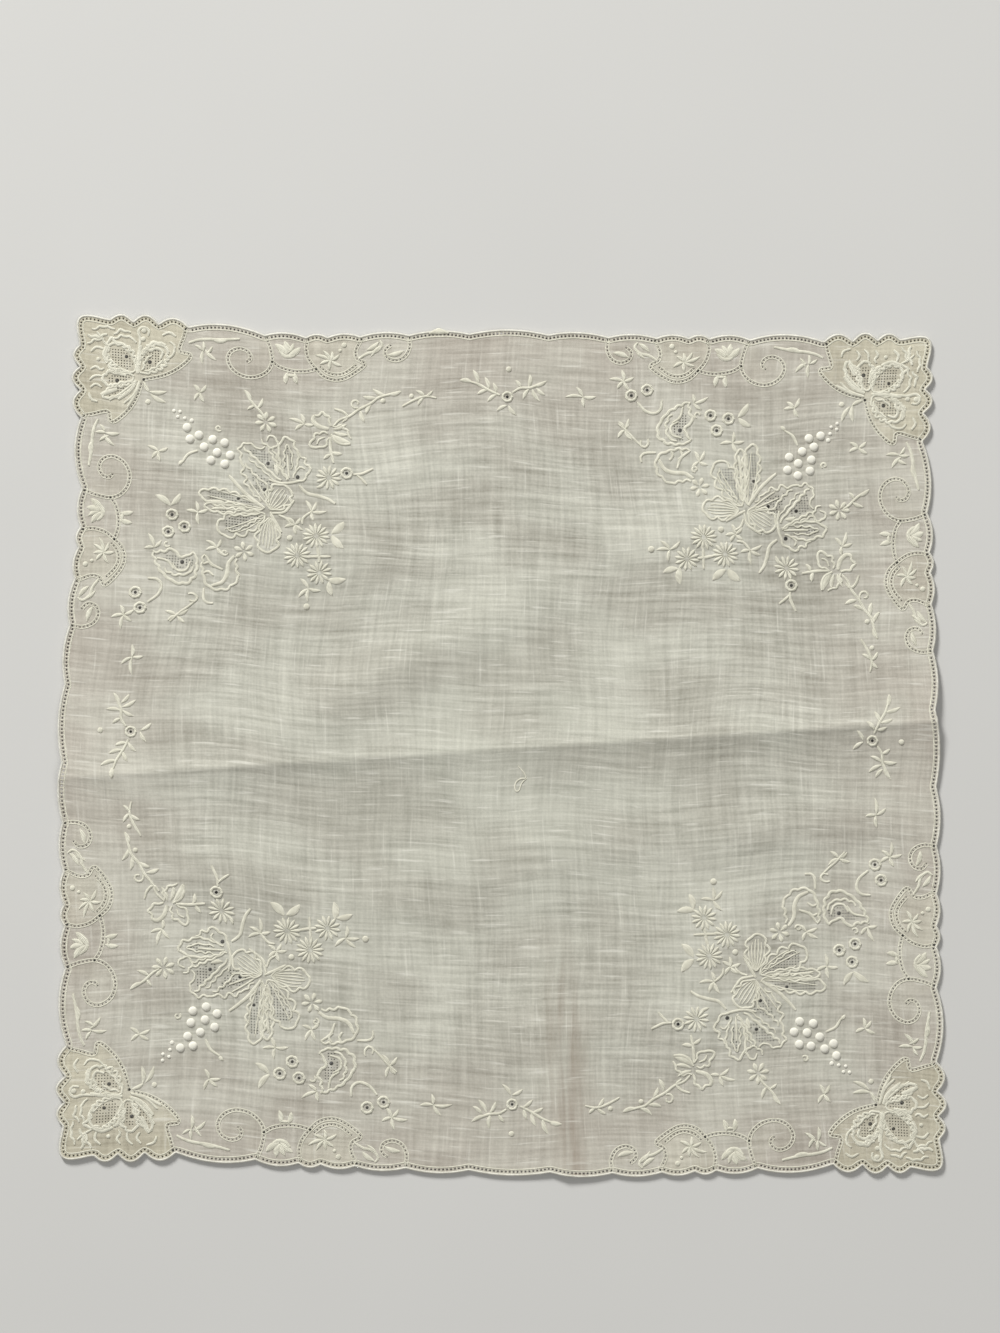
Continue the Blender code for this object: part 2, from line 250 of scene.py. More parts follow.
# Satin leaves: (base, tip, width)
LEAVES = (
    ((80.8, 69.3), (84.8, 65.2), 2.7), ((81.0, 70.0), (84.8, 74.4), 2.5), ((80.2, 85.4), (86.2, 85.2), 2.3),
    ((80.8, 86.0), (82.2, 91.0), 2.1), ((28.2, 64.2), (23.2, 60.8), 2.1), ((28.4, 63.9), (31.3, 59.6), 2.0),
    ((82.0, 32.6), (86.6, 30.8), 1.3), ((82.2, 33.6), (87.2, 34.6), 1.4), ((81.4, 34.4), (87.8, 37.4), 2.1),
    ((81.3, 40.6), (85.0, 41.2), 1.4), ((81.3, 41.4), (78.8, 43.2), 1.3), ((91.2, 26.2), (92.6, 30.2), 1.5),
    ((47.4, 62.4), (39.6, 61.8), 1.5), ((46.8, 63.6), (41.2, 64.2), 1.2), ((63.4, 49.6), (62.4, 45.8), 1.5),
    ((92.0, 21.2), (96.4, 21.7), 1.5), ((95.2, 18.6), (99.2, 20.9), 1.4), ((100.4, 20.8), (104.6, 19.6), 1.4),
    ((94.6, 24.2), (93.0, 27.4), 1.4), ((55.2, 24.0), (52.8, 20.2), 1.4), ((57.2, 26.4), (59.0, 22.6), 1.3),
    ((56.4, 25.6), (53.9, 27.2), 1.1), ((76.0, 53.2), (79.0, 51.6), 1.2), ((32.5, 48.0), (31.0, 49.6), 1.3),
)
# Sprigs: a middle, and the ends of the short satin arms that meet there
SPRIGS = (
    ((74.2, 61.8), ((72.4, 57.8), (75.9, 58.2), (79.2, 61.5), (75.0, 65.0))),
    ((74.3, 88.7), ((71.4, 85.3), (71.3, 91.9), (78.4, 89.2), (74.4, 93.2))),
    ((37.0, 65.8), ((33.2, 65.4), (36.4, 61.8), (37.6, 70.0), (40.6, 64.1))),
    ((43.8, 77.4), ((40.0, 75.3), (40.2, 78.7), (44.9, 74.4), (46.2, 79.8))),
    ((68.8, 66.6), ((66.2, 64.2), (65.4, 67.7), (69.2, 70.0), (71.5, 68.3), (70.6, 64.0))),
    ((24.5, 45.2), ((20.9, 43.7), (27.6, 43.7), (25.0, 48.8), (22.3, 47.9))),
    ((38.4, 23.0), ((36.3, 20.4), (40.5, 20.0), (39.8, 26.3), (36.5, 26.1))),
    ((72.6, 30.8), ((67.6, 29.1), (71.5, 27.2), (69.6, 33.0), (75.8, 31.0))),
    ((33.0, 102.2), ((29.2, 101.0), (30.2, 104.3), (36.5, 99.7), (35.9, 104.5))),
    ((16.2, 103.0), ((12.2, 104.0), (14.8, 99.8), (19.3, 101.1), (15.6, 108.0), (18.9, 105.1))),
    ((23.6, 79.2), ((21.3, 74.4), (20.4, 79.7), (25.7, 76.5))),
)
BERRIES = ((74.2, 95.0, 1.1), (67.2, 71.4, 1.0), (98.6, 22.9, 0.85))
# The corner's own flower, in the hem, given as the openwork leaves are
CORNER_PETALS = (
    ((19.8, 18.0), (28.0, 8.0), 8.2, 6, 1.15, 0.5), ((18.0, 17.8), (9.8, 9.4), 8.8, 6, 1.15, 0.5),
    ((17.6, 19.8), (7.4, 21.8), 6.2, 5, 1.1, 0.5), ((18.0, 22.0), (7.4, 27.8), 4.2, 5, 1.0, 0.6),
)
CORNER_STEMS = (
    (1.55, ((18.9, 18.4), (19.2, 14.0), (20.2, 8.2))), (1.55, ((18.4, 20.8), (16.6, 24.4), (12.4, 28.2))),
    (1.7, ((6.8, 27.2), (9.4, 25.7), (12.2, 24.6))), (1.2, ((19.6, 21.0), (18.2, 25.6), (15.6, 30.6))),
    (0.95, ((3.6, 18.4), (5.4, 17.2), (6.8, 18.4), (8.0, 17.6))),
    (1.0, ((3.8, 12.2), (5.6, 10.4), (8.0, 10.8))), (0.95, ((27.2, 4.0), (29.6, 2.8), (31.6, 4.0))),
    (0.95, ((2.8, 26.6), (3.6, 29.0), (5.6, 29.6))),
    (1.1, ((19.6, 9.6), (20.0, 6.0), (19.4, 3.4), (20.8, 1.8), (22.8, 2.6), (22.6, 4.6))),
    (1.0, ((19.4, 21.4), (17.8, 25.8), (14.4, 29.4))), (0.9, ((17.4, 22.2), (13.6, 25.8), (9.6, 28.8))),
    (0.85, ((5.8, 5.0), (7.4, 6.8), (8.8, 9.4))), (0.9, ((3.2, 22.2), (4.8, 20.6), (7.2, 20.4))),
    (0.9, ((3.4, 24.8), (5.2, 23.4), (7.0, 24.4))),
    (0.9, ((28.6, 12.4), (30.6, 10.6), (31.2, 7.4), (29.6, 6.0))),
    (1.3, ((9.0, 9.6), (8.0, 12.6), (9.0, 15.8))),
)
CORNER_LOBED = (
    (1.45, ((9.2, 16.2), (11.6, 18.4), (15.2, 19.4))), (1.45, ((22.0, 8.6), (24.6, 7.0), (28.2, 7.4))),
    (1.0, ((11.6, 5.4), (13.6, 3.6), (16.8, 4.2))), (1.2, ((2.8, 6.6), (6.2, 6.8), (9.2, 5.4))),
    (1.1, ((9.8, 11.6), (9.4, 8.6), (10.6, 6.8), (12.2, 8.2), (14.6, 8.6), (16.8, 10.2))),
    (1.1, ((20.8, 11.8), (21.8, 9.4), (23.4, 9.8), (25.6, 8.8), (27.2, 10.2), (26.6, 12.4))),
    (0.85, ((20.6, 17.2), (21.6, 13.6), (23.6, 11.6))), (0.85, ((21.4, 17.6), (25.0, 15.6), (27.2, 12.8))),
    (0.85, ((16.6, 18.8), (12.8, 19.4), (9.8, 18.8), (8.4, 20.2))),
    (0.95, ((4.4, 4.4), (8.0, 2.9), (11.8, 3.4))), (0.95, ((2.9, 9.6), (5.0, 8.0), (8.2, 7.4))),
    (0.9, ((11.4, 7.0), (14.2, 5.6), (17.6, 6.2), (18.6, 7.6))),
)
CORNER_LEAVES = (
    ((22.6, 24.5), (28.4, 24.0), 1.5), ((23.0, 25.4), (28.2, 27.9), 1.5), ((21.0, 21.2), (22.8, 24.8), 1.3),
)
CORNER_BERRIES = ((21.3, 3.0, 0.95), (21.0, 6.0, 0.85), (22.2, 28.2, 0.9), (6.2, 14.6, 0.7))
# What fills the scallops of a half side, in (along the side, in from it)
BORDER_LEAVES = (
    ((40.4, 8.4), (40.5, 4.8), 1.2), ((40.4, 8.2), (40.2, 12.8), 1.3), ((41.0, 7.6), (44.7, 11.0), 1.3),
    ((41.4, 9.2), (43.5, 6.0), 1.1), ((40.2, 8.0), (37.6, 6.3), 1.0), ((43.2, 3.8), (48.8, 3.2), 1.5),
    ((67.9, 6.6), (63.8, 3.1), 2.2), ((68.0, 6.2), (67.0, 1.8), 2.1), ((68.2, 6.8), (72.2, 3.7), 2.1),
    ((68.0, 6.0), (69.9, 2.4), 1.5), ((68.1, 12.8), (67.5, 17.0), 1.7), ((70.4, 12.8), (71.3, 16.8), 1.7),
    ((67.6, 13.7), (71.0, 13.7), 1.0), ((82.2, 8.4), (77.0, 6.4), 1.2), ((82.2, 8.4), (79.5, 4.8), 1.1),
    ((82.2, 8.6), (82.6, 5.2), 1.3), ((82.2, 8.4), (85.0, 6.3), 1.1), ((82.2, 8.4), (85.8, 10.3), 1.2),
    ((82.2, 8.2), (81.8, 11.8), 1.2), ((82.2, 8.4), (78.6, 9.7), 1.1), ((94.0, 5.0), (97.9, 2.2), 1.6),
    ((98.8, 3.6), (95.4, 7.3), 1.2), ((100.9, 7.0), (106.0, 5.6), 1.7),
)
BORDER_STEMS = (
    (1.1, ((35.8, 5.8), (38.6, 4.5), (42.0, 3.8), (46.0, 3.5), (52.4, 2.4))),
    (1.3, ((65.2, 5.0), (67.0, 7.0), (69.4, 7.0), (71.2, 5.4))),
    (1.05, ((91.2, 8.0), (94.2, 6.2), (97.0, 5.6), (99.0, 3.4), (98.0, 1.8))),
)
BORDER_BERRIES = ((86.5, 3.0, 0.9), (85.2, 4.9, 0.6))

# The spray in the middle of each side, in mm: its ring is (along the side from its middle, in from the
# side, outer radius), and the rest is (along, in) from that ring
SIDE_RING = (-1.2, 21.7, 1.9)
SIDE_SHIFTS = ((1.2, 0.4), (-1.0, -0.6), (0.4, 0.2), (-1.0, 0.0))
SIDE_STEMS = (
    (0.95, ((-2.6, -0.6), (-6.4, -2.4), (-9.6, -4.3), (-12.4, -5.3))),
    (0.95, ((1.8, -1.6), (4.2, -3.1), (7.2, -3.3), (9.6, -4.2), (12.4, -5.6))),
    (0.9, ((-34.8, 3.0), (-30.8, 0.8), (-27.2, -0.4), (-23.6, 0.2))),
)
SIDE_LEAVES = (
    ((-11.8, -5.1), (-16.0, -5.8), 1.6), ((-9.8, -4.3), (-11.6, -9.4), 1.5),
    ((-6.2, -2.6), (-7.6, -6.8), 1.4), ((-6.6, -2.4), (-10.0, -0.8), 1.3),
    ((-3.8, -1.2), (-4.8, -4.8), 1.3), ((-3.6, -0.8), (-6.6, 1.8), 1.3), ((7.0, -3.4), (7.3, -8.0), 1.4),
    ((8.4, -3.9), (13.0, -6.0), 1.4), ((7.2, -3.0), (5.3, 0.7), 1.3), ((8.2, -3.0), (10.8, 1.2), 1.4),
    ((9.6, -3.4), (12.6, -1.0), 1.3), ((4.4, -3.2), (2.6, -5.8), 1.2), ((0.0, 3.0), (-3.4, 5.0), 1.3),
    ((0.4, 3.0), (3.2, 6.4), 1.3), ((-27.8, 0.0), (-29.6, 2.8), 1.2), ((-27.4, -0.4), (-30.4, -2.4), 1.2),
    ((-27.0, -0.4), (-24.8, -2.4), 1.1), ((25.3, -0.9), (19.3, -0.6), 1.2),
    ((25.3, -0.9), (29.6, -1.2), 1.3), ((25.3, -0.9), (22.8, -4.2), 1.2), ((25.3, -0.9), (25.8, 2.6), 1.2),
)
SIDE_BERRIES = ((0.2, -9.6, 0.95), (-31.8, -0.6, 0.8))
LOOSE_THREAD = (
    (4.0, -7.5), (5.6, -9.5), (6.6, -11.5), (4.8, -11.8), (3.2, -13.2), (3.0, -15.8), (4.2, -15.8),
    (5.2, -13.2), (6.8, -11.6),
)
# A tuft that stands out of the upper edge
EDGE_TUFT = (
    (-26.4, HALF + 0.3), (-24.8, HALF + 0.9), (-23.2, HALF + 1.6), (-21.6, HALF + 0.9), (-20.0, HALF + 0.3),
)

# How the linen's tones change, in mm: the hem's cream loses a share of itself over its reach inwards from
# the edge, the blush fades away, the cool middle is a bell, and a streak of painted shade, standing in for
# the shade of the upright crease, runs a little to the right of it and grows stronger downwards from its top
CREAM_LOSS, CREAM_REACH = 0.5, 22
BLUSH_REACH = 46
COOL_MIDDLE, COOL_REACH = (0, -10), (85, 75)
CREASE_SHADE_ASIDE, CREASE_SHADE_REACH, CREASE_SHADE_TOP, CREASE_SHADE_FADE = 4, 6, -55, 50


def linear(code):
    """An sRGB hex colour as Blender's linear red, green, blue and alpha."""
    share = np.array([int(code[place:place + 2], 16) for place in (1, 3, 5)]) / 255
    value = np.where(share <= 0.04045, share / 12.92, ((share + 0.055) / 1.055) ** 2.4)
    return (*value.tolist(), 1.0)


# The shape of the cloth


def smooth_steps(values, share):
    """The values at even steps along 0 to 1, read as one smooth (Catmull-Rom) curve."""
    values = np.asarray(values, float)
    padded = np.concatenate([[2 * values[0] - values[1]], values, [2 * values[-1] - values[-2]]])
    place = np.clip(share, 0, 1) * (len(values) - 1)
    span = np.minimum(place.astype(int), len(values) - 2)
    t = place - span
    a, b, c, d = (padded[span + k] for k in range(4))
    return b + 0.5 * t * (c - a + t * (2 * a - 5 * b + 4 * c - d + t * (3 * (b - c) + d - a)))


def as_it_lies(points):
    """Points of the cut square carried to where they lie: a patch spanned by the four bowed sides."""
    share = (points + HALF) / (2 * HALF)
    s, t = share[:, :1], share[:, 1:]
    corner = {name: np.array(at) for name, at in CORNERS.items()}

    def side(start, end, bow, along, outwards):
        line = corner[start] + (corner[end] - corner[start]) * along
        line = line + np.abs(np.array(outwards[::-1])) * SLIDES[bow] * np.sin(math.pi * along)
        return line + np.array(outwards) * smooth_steps(BOWS[bow], along)

    across = (1 - t) * side("bottom_left", "bottom_right", "bottom", s, (0, -1))
    across += t * side("top_left", "top_right", "top", s, (0, 1))
    upright = (1 - s) * side("bottom_left", "top_left", "left", t, (-1, 0))
    upright += s * side("bottom_right", "top_right", "right", t, (1, 0))
    flat = (1 - t) * (corner["bottom_left"] * (1 - s) + corner["bottom_right"] * s)
    flat += t * (corner["top_left"] * (1 - s) + corner["top_right"] * s)
    return across + upright - flat


def turned(ways):
    """Directions turned a quarter to their right. The last axis is (u, v)."""
    return np.stack([ways[..., 1], -ways[..., 0]], axis=-1)


def crease_places(points, crease):
    """How far along a crease points lie, as a share of it, and how far to its left, in mm."""
    start, end = np.array([crease["start"], crease["end"]], float)
    length = np.linalg.norm(end - start)
    ahead = (end - start) / length
    return (points - start) @ ahead / length, (points - start) @ -turned(ahead)


def lift(points):
    """How high the cloth stands off the surface: creases fall off as exp(-distance / reach), waves as a
    bell along and across, and what is left under SETTLED lies flat. A pressed line, falling off as
    exp(-distance / PRESSED_REACH), runs along each crest."""
    total = np.zeros(len(points))
    for crease in CREASES.values():
        share, aside = crease_places(points, crease)
        high = np.interp(share, (0, 1), crease["high"])
        total += high * np.exp(-np.abs(aside) / np.where(aside > 0, *crease["reach"]))
        total += smooth_steps(crease["pressed"], share) * np.exp(-np.abs(aside) / PRESSED_REACH)
    for at, long, wide, turn, high in WAVES:
        ahead = np.array([math.cos(math.radians(turn)), math.sin(math.radians(turn))])
        along, aside = (points - at) @ ahead / long, (points - at) @ turned(ahead) / wide
        total += high * np.exp(-(along**2) - aside**2)
    return np.maximum(total - SETTLED, 0)


def quarter_turns(points):
    """The points, and the same turned clockwise onto the other three corners. The last axis is (u, v)."""
    made = [np.asarray(points, float)]
    for _ in range(3):
        made.append(turned(made[-1]))
    return made


def outline(step=0.4):
    """The scalloped edge, clockwise from the upper left corner: each scallop is a parabola that stands on
    the line through the notches, and each corner a rounded square."""
    angle = np.linspace(math.pi, math.pi / 2, 40, endpoint=False)
    across, up = np.abs(np.cos(angle)), np.abs(np.sin(angle))
    reach = CORNER_LOBE + LOBE_BULGE * (1 - np.abs(np.cos(2 * angle)) ** 3)
    radius = reach / (across**LOBE_SQUARENESS + up**LOBE_SQUARENESS) ** (1 / LOBE_SQUARENESS)
    centre = HALF - CORNER_LOBE
    pieces = [np.stack([-centre - radius * across, centre + radius * up], axis=1)]
    start = -centre
    for width, crest in (*SCALLOPS, (2 * MIDDLE_HALF, MIDDLE_CREST), *SCALLOPS[::-1]):
        t = np.linspace(0, 1, round(width / step), endpoint=False)
        pieces.append(np.stack([start + width * t, HALF + crest * 4 * t * (1 - t)], axis=1))
        start += width
    return np.concatenate(quarter_turns(np.concatenate(pieces)))


CUT_EDGE = as_it_lies(outline())
MIDDLE = (CUT_EDGE.min(axis=0) + CUT_EDGE.max(axis=0)) / 2


def gone_along(paths):
    """How far each point of a path lies along it. The last two axes are the points and (u, v)."""
    lengths = np.linalg.norm(np.diff(paths, axis=-2), axis=-1)
    return np.concatenate([np.zeros((*lengths.shape[:-1], 1)), lengths.cumsum(axis=-1)], axis=-1)


def evenly(points, step=None, closed=False, count=None):
    """The points of a polyline, cut again about every step along it, or into a count."""
    run = np.concatenate([points, points[:1]]) if closed else points
    gone = gone_along(run)
    count = count or max(round(gone[-1] / step), 2) + (not closed)
    place = np.linspace(0, gone[-1], count, endpoint=not closed)
    return np.column_stack([np.interp(place, gone, side) for side in run.T])


def smooth_path(points, step=0.5):
    """A Catmull-Rom curve through a few points, cut about every step."""
    points = np.asarray(points, float)
    share = np.linspace(0, 1, 16 * (len(points) - 1) + 1)
    return evenly(np.column_stack([smooth_steps(side, share) for side in points.T]), step)


def to_the_right(paths, closed=False):
    """Directions to the right of paths, 1 mm long. The last two axes are the points and (u, v)."""
    if closed:
        ahead = np.roll(paths, -1, axis=-2) - np.roll(paths, 1, axis=-2)
    else:
        ahead = np.gradient(paths, axis=-2)
    return turned(ahead / np.maximum(np.linalg.norm(ahead, axis=-1, keepdims=True), 1e-9))


def beside(path, distance, closed=False):
    """A path moved to its right by the distance."""
    return path + distance * to_the_right(path, closed)


def inside(points, polygon):
    """Which points a polygon holds: those with an odd number of its sides to their right."""
    x, y = points[:, :1], points[:, 1:]
    ax, ay = polygon[:, 0], polygon[:, 1]
    bx, by = np.roll(ax, -1), np.roll(ay, -1)
    fall = np.where(np.abs(by - ay) < 1e-12, 1e-12, by - ay)
    return (((ay > y) != (by > y)) & (x < (bx - ax) * (y - ay) / fall + ax)).sum(axis=1) % 2 == 1


def round_points(angle):
    """The points of a circle of radius 1 at the angles."""
    return np.stack([np.cos(angle), np.sin(angle)], axis=-1)


def on_cut(points):
    """Places of the upper left corner, (in, down), on the cut square."""
    points = np.asarray(points, float)
    return np.stack([points[..., 0] - HALF, HALF - points[..., 1]], axis=-1)


def corner_places(points):
    """Places of one corner, (in, down), on all four corners of the cloth."""
    return quarter_turns(on_cut(points))


def shifted(points, shifts, places):
    """The places of points on all four corners or sides, each copy shifted by its own few tenths of a mm."""
    points = np.asarray(points, float)
    return [places(points + shift)[turn] for turn, shift in enumerate(shifts)]


def spray_places(points):
    """Places of the corner spray, (in, down), on all four corners of the cloth."""
    return shifted(points, SPRAY_SHIFTS, corner_places)


def border_places(points):
    """Places of a half side, (along, in), on both halves of all four sides."""
    left = on_cut(points)
    return quarter_turns(left) + quarter_turns(left * (-1, 1))


def side_places(points):
    """Places of the mid-side spray, (along, in) from its ring, in the middle of all four sides."""
    ring = (HALF + SIDE_RING[0], SIDE_RING[1])
    return shifted(points, SIDE_SHIFTS, lambda moved: quarter_turns(on_cut(moved + ring)))


def dense_share(points):
    """How dense the doubled hem makes the cloth at each point, from 0 to 1."""
    share = np.zeros(len(points))
    for name, dense in DENSE_PANELS.items():
        line, places = smooth_path(HEM_LINES[name]), border_places
        if name == "corner arc":
            line = np.concatenate([[(0, -4), (36.3, -4)], line, line[::-1, ::-1], [(-4, 36.3), (-4, 0)]])
            places = corner_places
        elif name == "pod":
            line = np.concatenate([line, [(line[-1, 0], -4), (line[0, 0], -4)]])
        for place in places(line):
            share = np.maximum(share, dense * inside(points, place))
    return share


def laid(points, cloth):
    """(x, y, underside, top) of points of the cut cloth, in mm. The underside is clear of the surface by
    the thickness of the stitching under it, and the doubled hem is thicker by its facing."""
    flat = as_it_lies(points)
    under = lift(flat) + cloth.clearance / MM
    top = under + cloth.thickness / MM + dense_share(points) * cloth.facing / MM
    return flat - MIDDLE, under, top


# Making meshes


def add_mesh(name, points, faces, material, sharp, **attributes):
    """A mesh piece from points in mm and its faces, all turned outwards and shaded smooth apart from
    edges sharper than the angle. Each attribute is a vector at each point, which the material reads."""
    mesh = bpy.data.meshes.new(name)
    mesh.from_pydata(np.asarray(points) * MM, [], faces)
    mesh.update()
    mesh.shade_smooth()
    mesh.set_sharp_from_angle(angle=math.radians(sharp))
    mesh.materials.append(material)
    shape = bmesh.new()
    shape.from_mesh(mesh)
    bmesh.ops.recalc_face_normals(shape, faces=shape.faces)
    shape.to_mesh(mesh)
    shape.free()
    for label, vectors in attributes.items():
        layer = mesh.attributes.new(label, "FLOAT_VECTOR", "POINT")
        layer.data.foreach_set("vector", np.asarray(vectors, np.float32).ravel())
    piece = bpy.data.objects.new(name, mesh)
    bpy.context.scene.collection.objects.link(piece)
    return piece


class Stitching:
    """Raised threads gathered for one piece. Each is a closed tube swept along a path on the cloth: at
    share t of the way, its section is an ellipse of half width w(t) whose foot is sunk in the cloth and
    whose crown stands rise(t) above it. Widths, rises and sinks are in mm."""

    def __init__(self, cloth, sides=8, sink=0.12):
        self.cloth, self.sides, self.sink = cloth, sides, sink
        self.points, self.marks, self.faces, self.count = [], [], [], 0

    def skin(self, xy, z, gone, turn, closed=False):
        """Keeps rows of points, (number, rows, around), joins each row to the next with four-sided faces,
        and gives the points' numbers. gone and turn say how far along and round the thread they lie."""
        number = self.count + np.arange(z.size).reshape(z.shape)
        after = np.roll(number, -1, axis=1) if closed else number[:, 1:]
        here = number if closed else number[:, :-1]
        quads = np.stack([here, after, np.roll(after, -1, axis=2), np.roll(here, -1, axis=2)], axis=-1)
        self.faces += quads.reshape(-1, 4).tolist()
        self.points.append(np.concatenate([xy, z[..., None]], axis=-1).reshape(-1, 3))
        marks = [np.broadcast_to(mark, z.shape) for mark in (gone, turn, 0.0)]
        self.marks.append(np.stack(marks, axis=-1).reshape(-1, 3))
        self.count += z.size
        return number

    def add(self, paths, half_width, rise, closed=False):
        """Tubes along paths of one length, (number, points, 2). half_width and rise are single values or
        arrays over the points."""
        paths = np.asarray(paths, float)
        many, length, _ = paths.shape
        flat, _, top = laid(paths.reshape(-1, 2), self.cloth)
        flat, top = flat.reshape(many, length, 2), top.reshape(many, length)
        angle = np.arange(self.sides) * math.tau / self.sides
        wide = np.broadcast_to(half_width, (many, length))[..., None] * np.cos(angle)
        high = np.broadcast_to(rise, (many, length))[..., None] + self.sink
        xy = flat[:, :, None] + to_the_right(flat, closed)[:, :, None] * wide[..., None]
        z = top[..., None] - self.sink + high * (0.5 + 0.5 * np.sin(angle))
        number = self.skin(xy, z, gone_along(flat)[..., None], angle / math.tau, closed)
        if not closed:
            self.faces += number[:, 0].tolist() + number[:, -1, ::-1].tolist()

    def stem(self, copies, width, rise, step=0.9):
        """A stem-stitched line: an even width with narrowed ends,
        w = width / 2 (0.55 + 0.45 sqrt(sin pi t))."""
        length = len(evenly(copies[0], step))
        t = np.linspace(0.02, 0.98, length)
        half_width = width / 2 * (0.55 + 0.45 * np.sqrt(np.sin(math.pi * t)))
        self.add([evenly(path, count=length) for path in copies], half_width, rise)

    def leaf(self, bases, tips, width, rise, bend=0.08, belly=1.0, length=7):
        """A satin leaf: w = width / 2 sin(pi t ** belly) ** 0.7, highest where it is widest, bent a
        little to one side. The belly moves its widest place towards the tip."""
        t = np.linspace(0, 1, length)
        base, tip = np.asarray(bases, float)[:, None], np.asarray(tips, float)[:, None]
        paths = base + (tip - base) * t[:, None] + turned(tip - base) * (bend * np.sin(math.pi * t))[:, None]
        full = np.sin(math.pi * np.clip(t, 0.02, 0.985) ** belly) ** 0.7
        self.add(paths, width / 2 * full, rise * (0.4 + 0.6 * full))

    def ring(self, centres, radius, width, rise, wedges):
        """A buttonholed ring: a closed tube, its width swelling by a sixth at each of its wedges."""
        angle = np.arange(28) * math.tau / 28
        swell = 1 + np.cos(wedges * angle) / 6
        paths = np.asarray(centres, float)[:, None] + radius * round_points(angle)
        self.add(paths, width / 2 * swell, rise * swell, closed=True)

    def dome(self, centres, radius, rise, rings=4, around=10):
        """A padded dot: a closed dome, z = rise sqrt(1 - r ** 2.4), on a foot sunk in the cloth."""
        flat, _, top = laid(np.asarray(centres, float), self.cloth)
        share = np.sin(np.linspace(math.pi / 2, 0, rings, endpoint=False))
        level = np.concatenate([[-self.sink], rise * np.sqrt(1 - share**2.4)])
        spread = round_points(np.arange(around) * math.tau / around) * radius
        rows = np.concatenate([[1], share])[:, None, None] * spread
        away = np.broadcast_to(rows, (len(flat), *rows.shape))
        z = np.broadcast_to(top[:, None, None] + level[:, None], away.shape[:3])
        number = self.skin(flat[:, None, None] + away, z, away @ (0.8, 0.6), 0.0)
        poles, last = self.count + np.arange(len(flat)), number[:, -1]
        fan = [np.roll(last, -1, axis=1), last, np.broadcast_to(poles[:, None], last.shape)]
        self.faces += np.stack(fan, axis=-1).reshape(-1, 3).tolist() + number[:, 0].tolist()
        self.points.append(np.column_stack([flat, top + rise]))
        self.marks.append(np.zeros((len(flat), 3)))
        self.count += len(flat)

    def work(self, places, rise, stems=(), lobed=(), leaves=(), berries=(), depth=0.8, plump=1.3):
        """Works every copy of plain and lobed stems (width, points), satin leaves (base, tip, width) and
        berries (across, down, radius). The depth is that of the lobes, and plump what a berry adds to the
        rise."""
        for width, points in stems:
            self.stem(places(smooth_path(points)), width, rise)
        for width, points in lobed:
            self.stem(places(crimped(smooth_path(points, 0.3), depth)), width, rise, step=0.5)
        for base, tip, width in leaves:
            self.leaf(places(base), places(tip), width, rise * 1.1)
        for across, down, radius in berries:
            self.dome(places((across, down)), radius, rise * plump)

    def finish(self, name, material):
        """The gathered threads as one piece that rides on the cloth's body."""
        points, marks = np.concatenate(self.points), np.concatenate(self.marks)
        piece = add_mesh(name, points, self.faces, material, sharp=70, along=marks)
        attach(piece, "root")


def crimped(path, depth, pitch=3.1):
    """A path set with small lobes: moved aside by depth (|sin a| - 0.6), where the angle a grows by half
    a turn every pitch, sometimes a little faster and sometimes slower, and the depth comes and goes."""
    gone = gone_along(path)
    angle = math.pi * gone / pitch + 0.8 * np.sin(gone / 4.3)
    depth = depth * (0.7 + 0.3 * np.sin(gone / 2.9 + 1.0))
    return beside(path, (depth * (0.6 - np.abs(np.sin(angle))))[:, None])


def leaf_outline(base, tip, width, lobes, belly, blunt, steps=50):
    """The outline of a lobed petal, from its base round its tip and back: half width
    width / 2 sin(pi t ** belly) ** blunt. The lobes swell it by |sin|, with a sharp notch between two,
    and those of the two sides aren't level."""
    base, along = np.array(base), np.subtract(tip, base)
    t = np.concatenate([np.linspace(0, 1, steps + 1), np.linspace(1, 0, steps + 1)[1:]])
    hand = np.where(np.arange(len(t)) <= steps, 1, -1)
    half = width / 2 * np.abs(np.sin(math.pi * t**belly)) ** blunt
    half *= 0.72 + 0.36 * np.abs(np.sin(math.pi * (lobes * t + 0.2 * hand))) + 0.05 * np.sin(5.3 * t + hand)
    return base + along * t[:, None] + turned(along) / np.linalg.norm(along) * (hand * half)[:, None]


def leaf_rib(leaf, across, reach):
    """A rib of a petal, from its base over most of its length, a share of the half width to one side."""
    base, tip, width, _, belly, blunt = leaf
    base, along = np.array(base), np.subtract(tip, base)
    t = np.linspace(0.02, reach, 12)
    half = across * width / 2 * np.sin(math.pi * t**belly) ** blunt
    return base + along * t[:, None] + turned(along) / np.linalg.norm(along) * half[:, None]


def open_mesh(shape, pitch, share):
    """The holes of drawn-thread work inside a closed outline: a square lattice in its middle share."""
    centre = shape.mean(axis=0)
    core = centre + (shape - centre) * share
    low, high = core.min(axis=0), core.max(axis=0)
    across, down = np.arange(low[0], high[0], pitch), np.arange(low[1], high[1], pitch)
    lattice = np.stack(np.meshgrid(across, down), axis=-1).reshape(-1, 2)
    return lattice[inside(lattice, core)]


def edge_row(stitch):
    """The row of pin-stitched holes just inside the scalloped edge, evenly spaced."""
    return evenly(beside(outline(), stitch.row_inset / MM, closed=True), stitch.pitch / MM, closed=True)


def hem_rows(stitch):
    """Every line of the hem on both halves of all four sides, with a hole at each stitch."""
    return [row for line in HEM_LINES.values() for row in border_places(smooth_path(line, stitch.pitch / MM))]


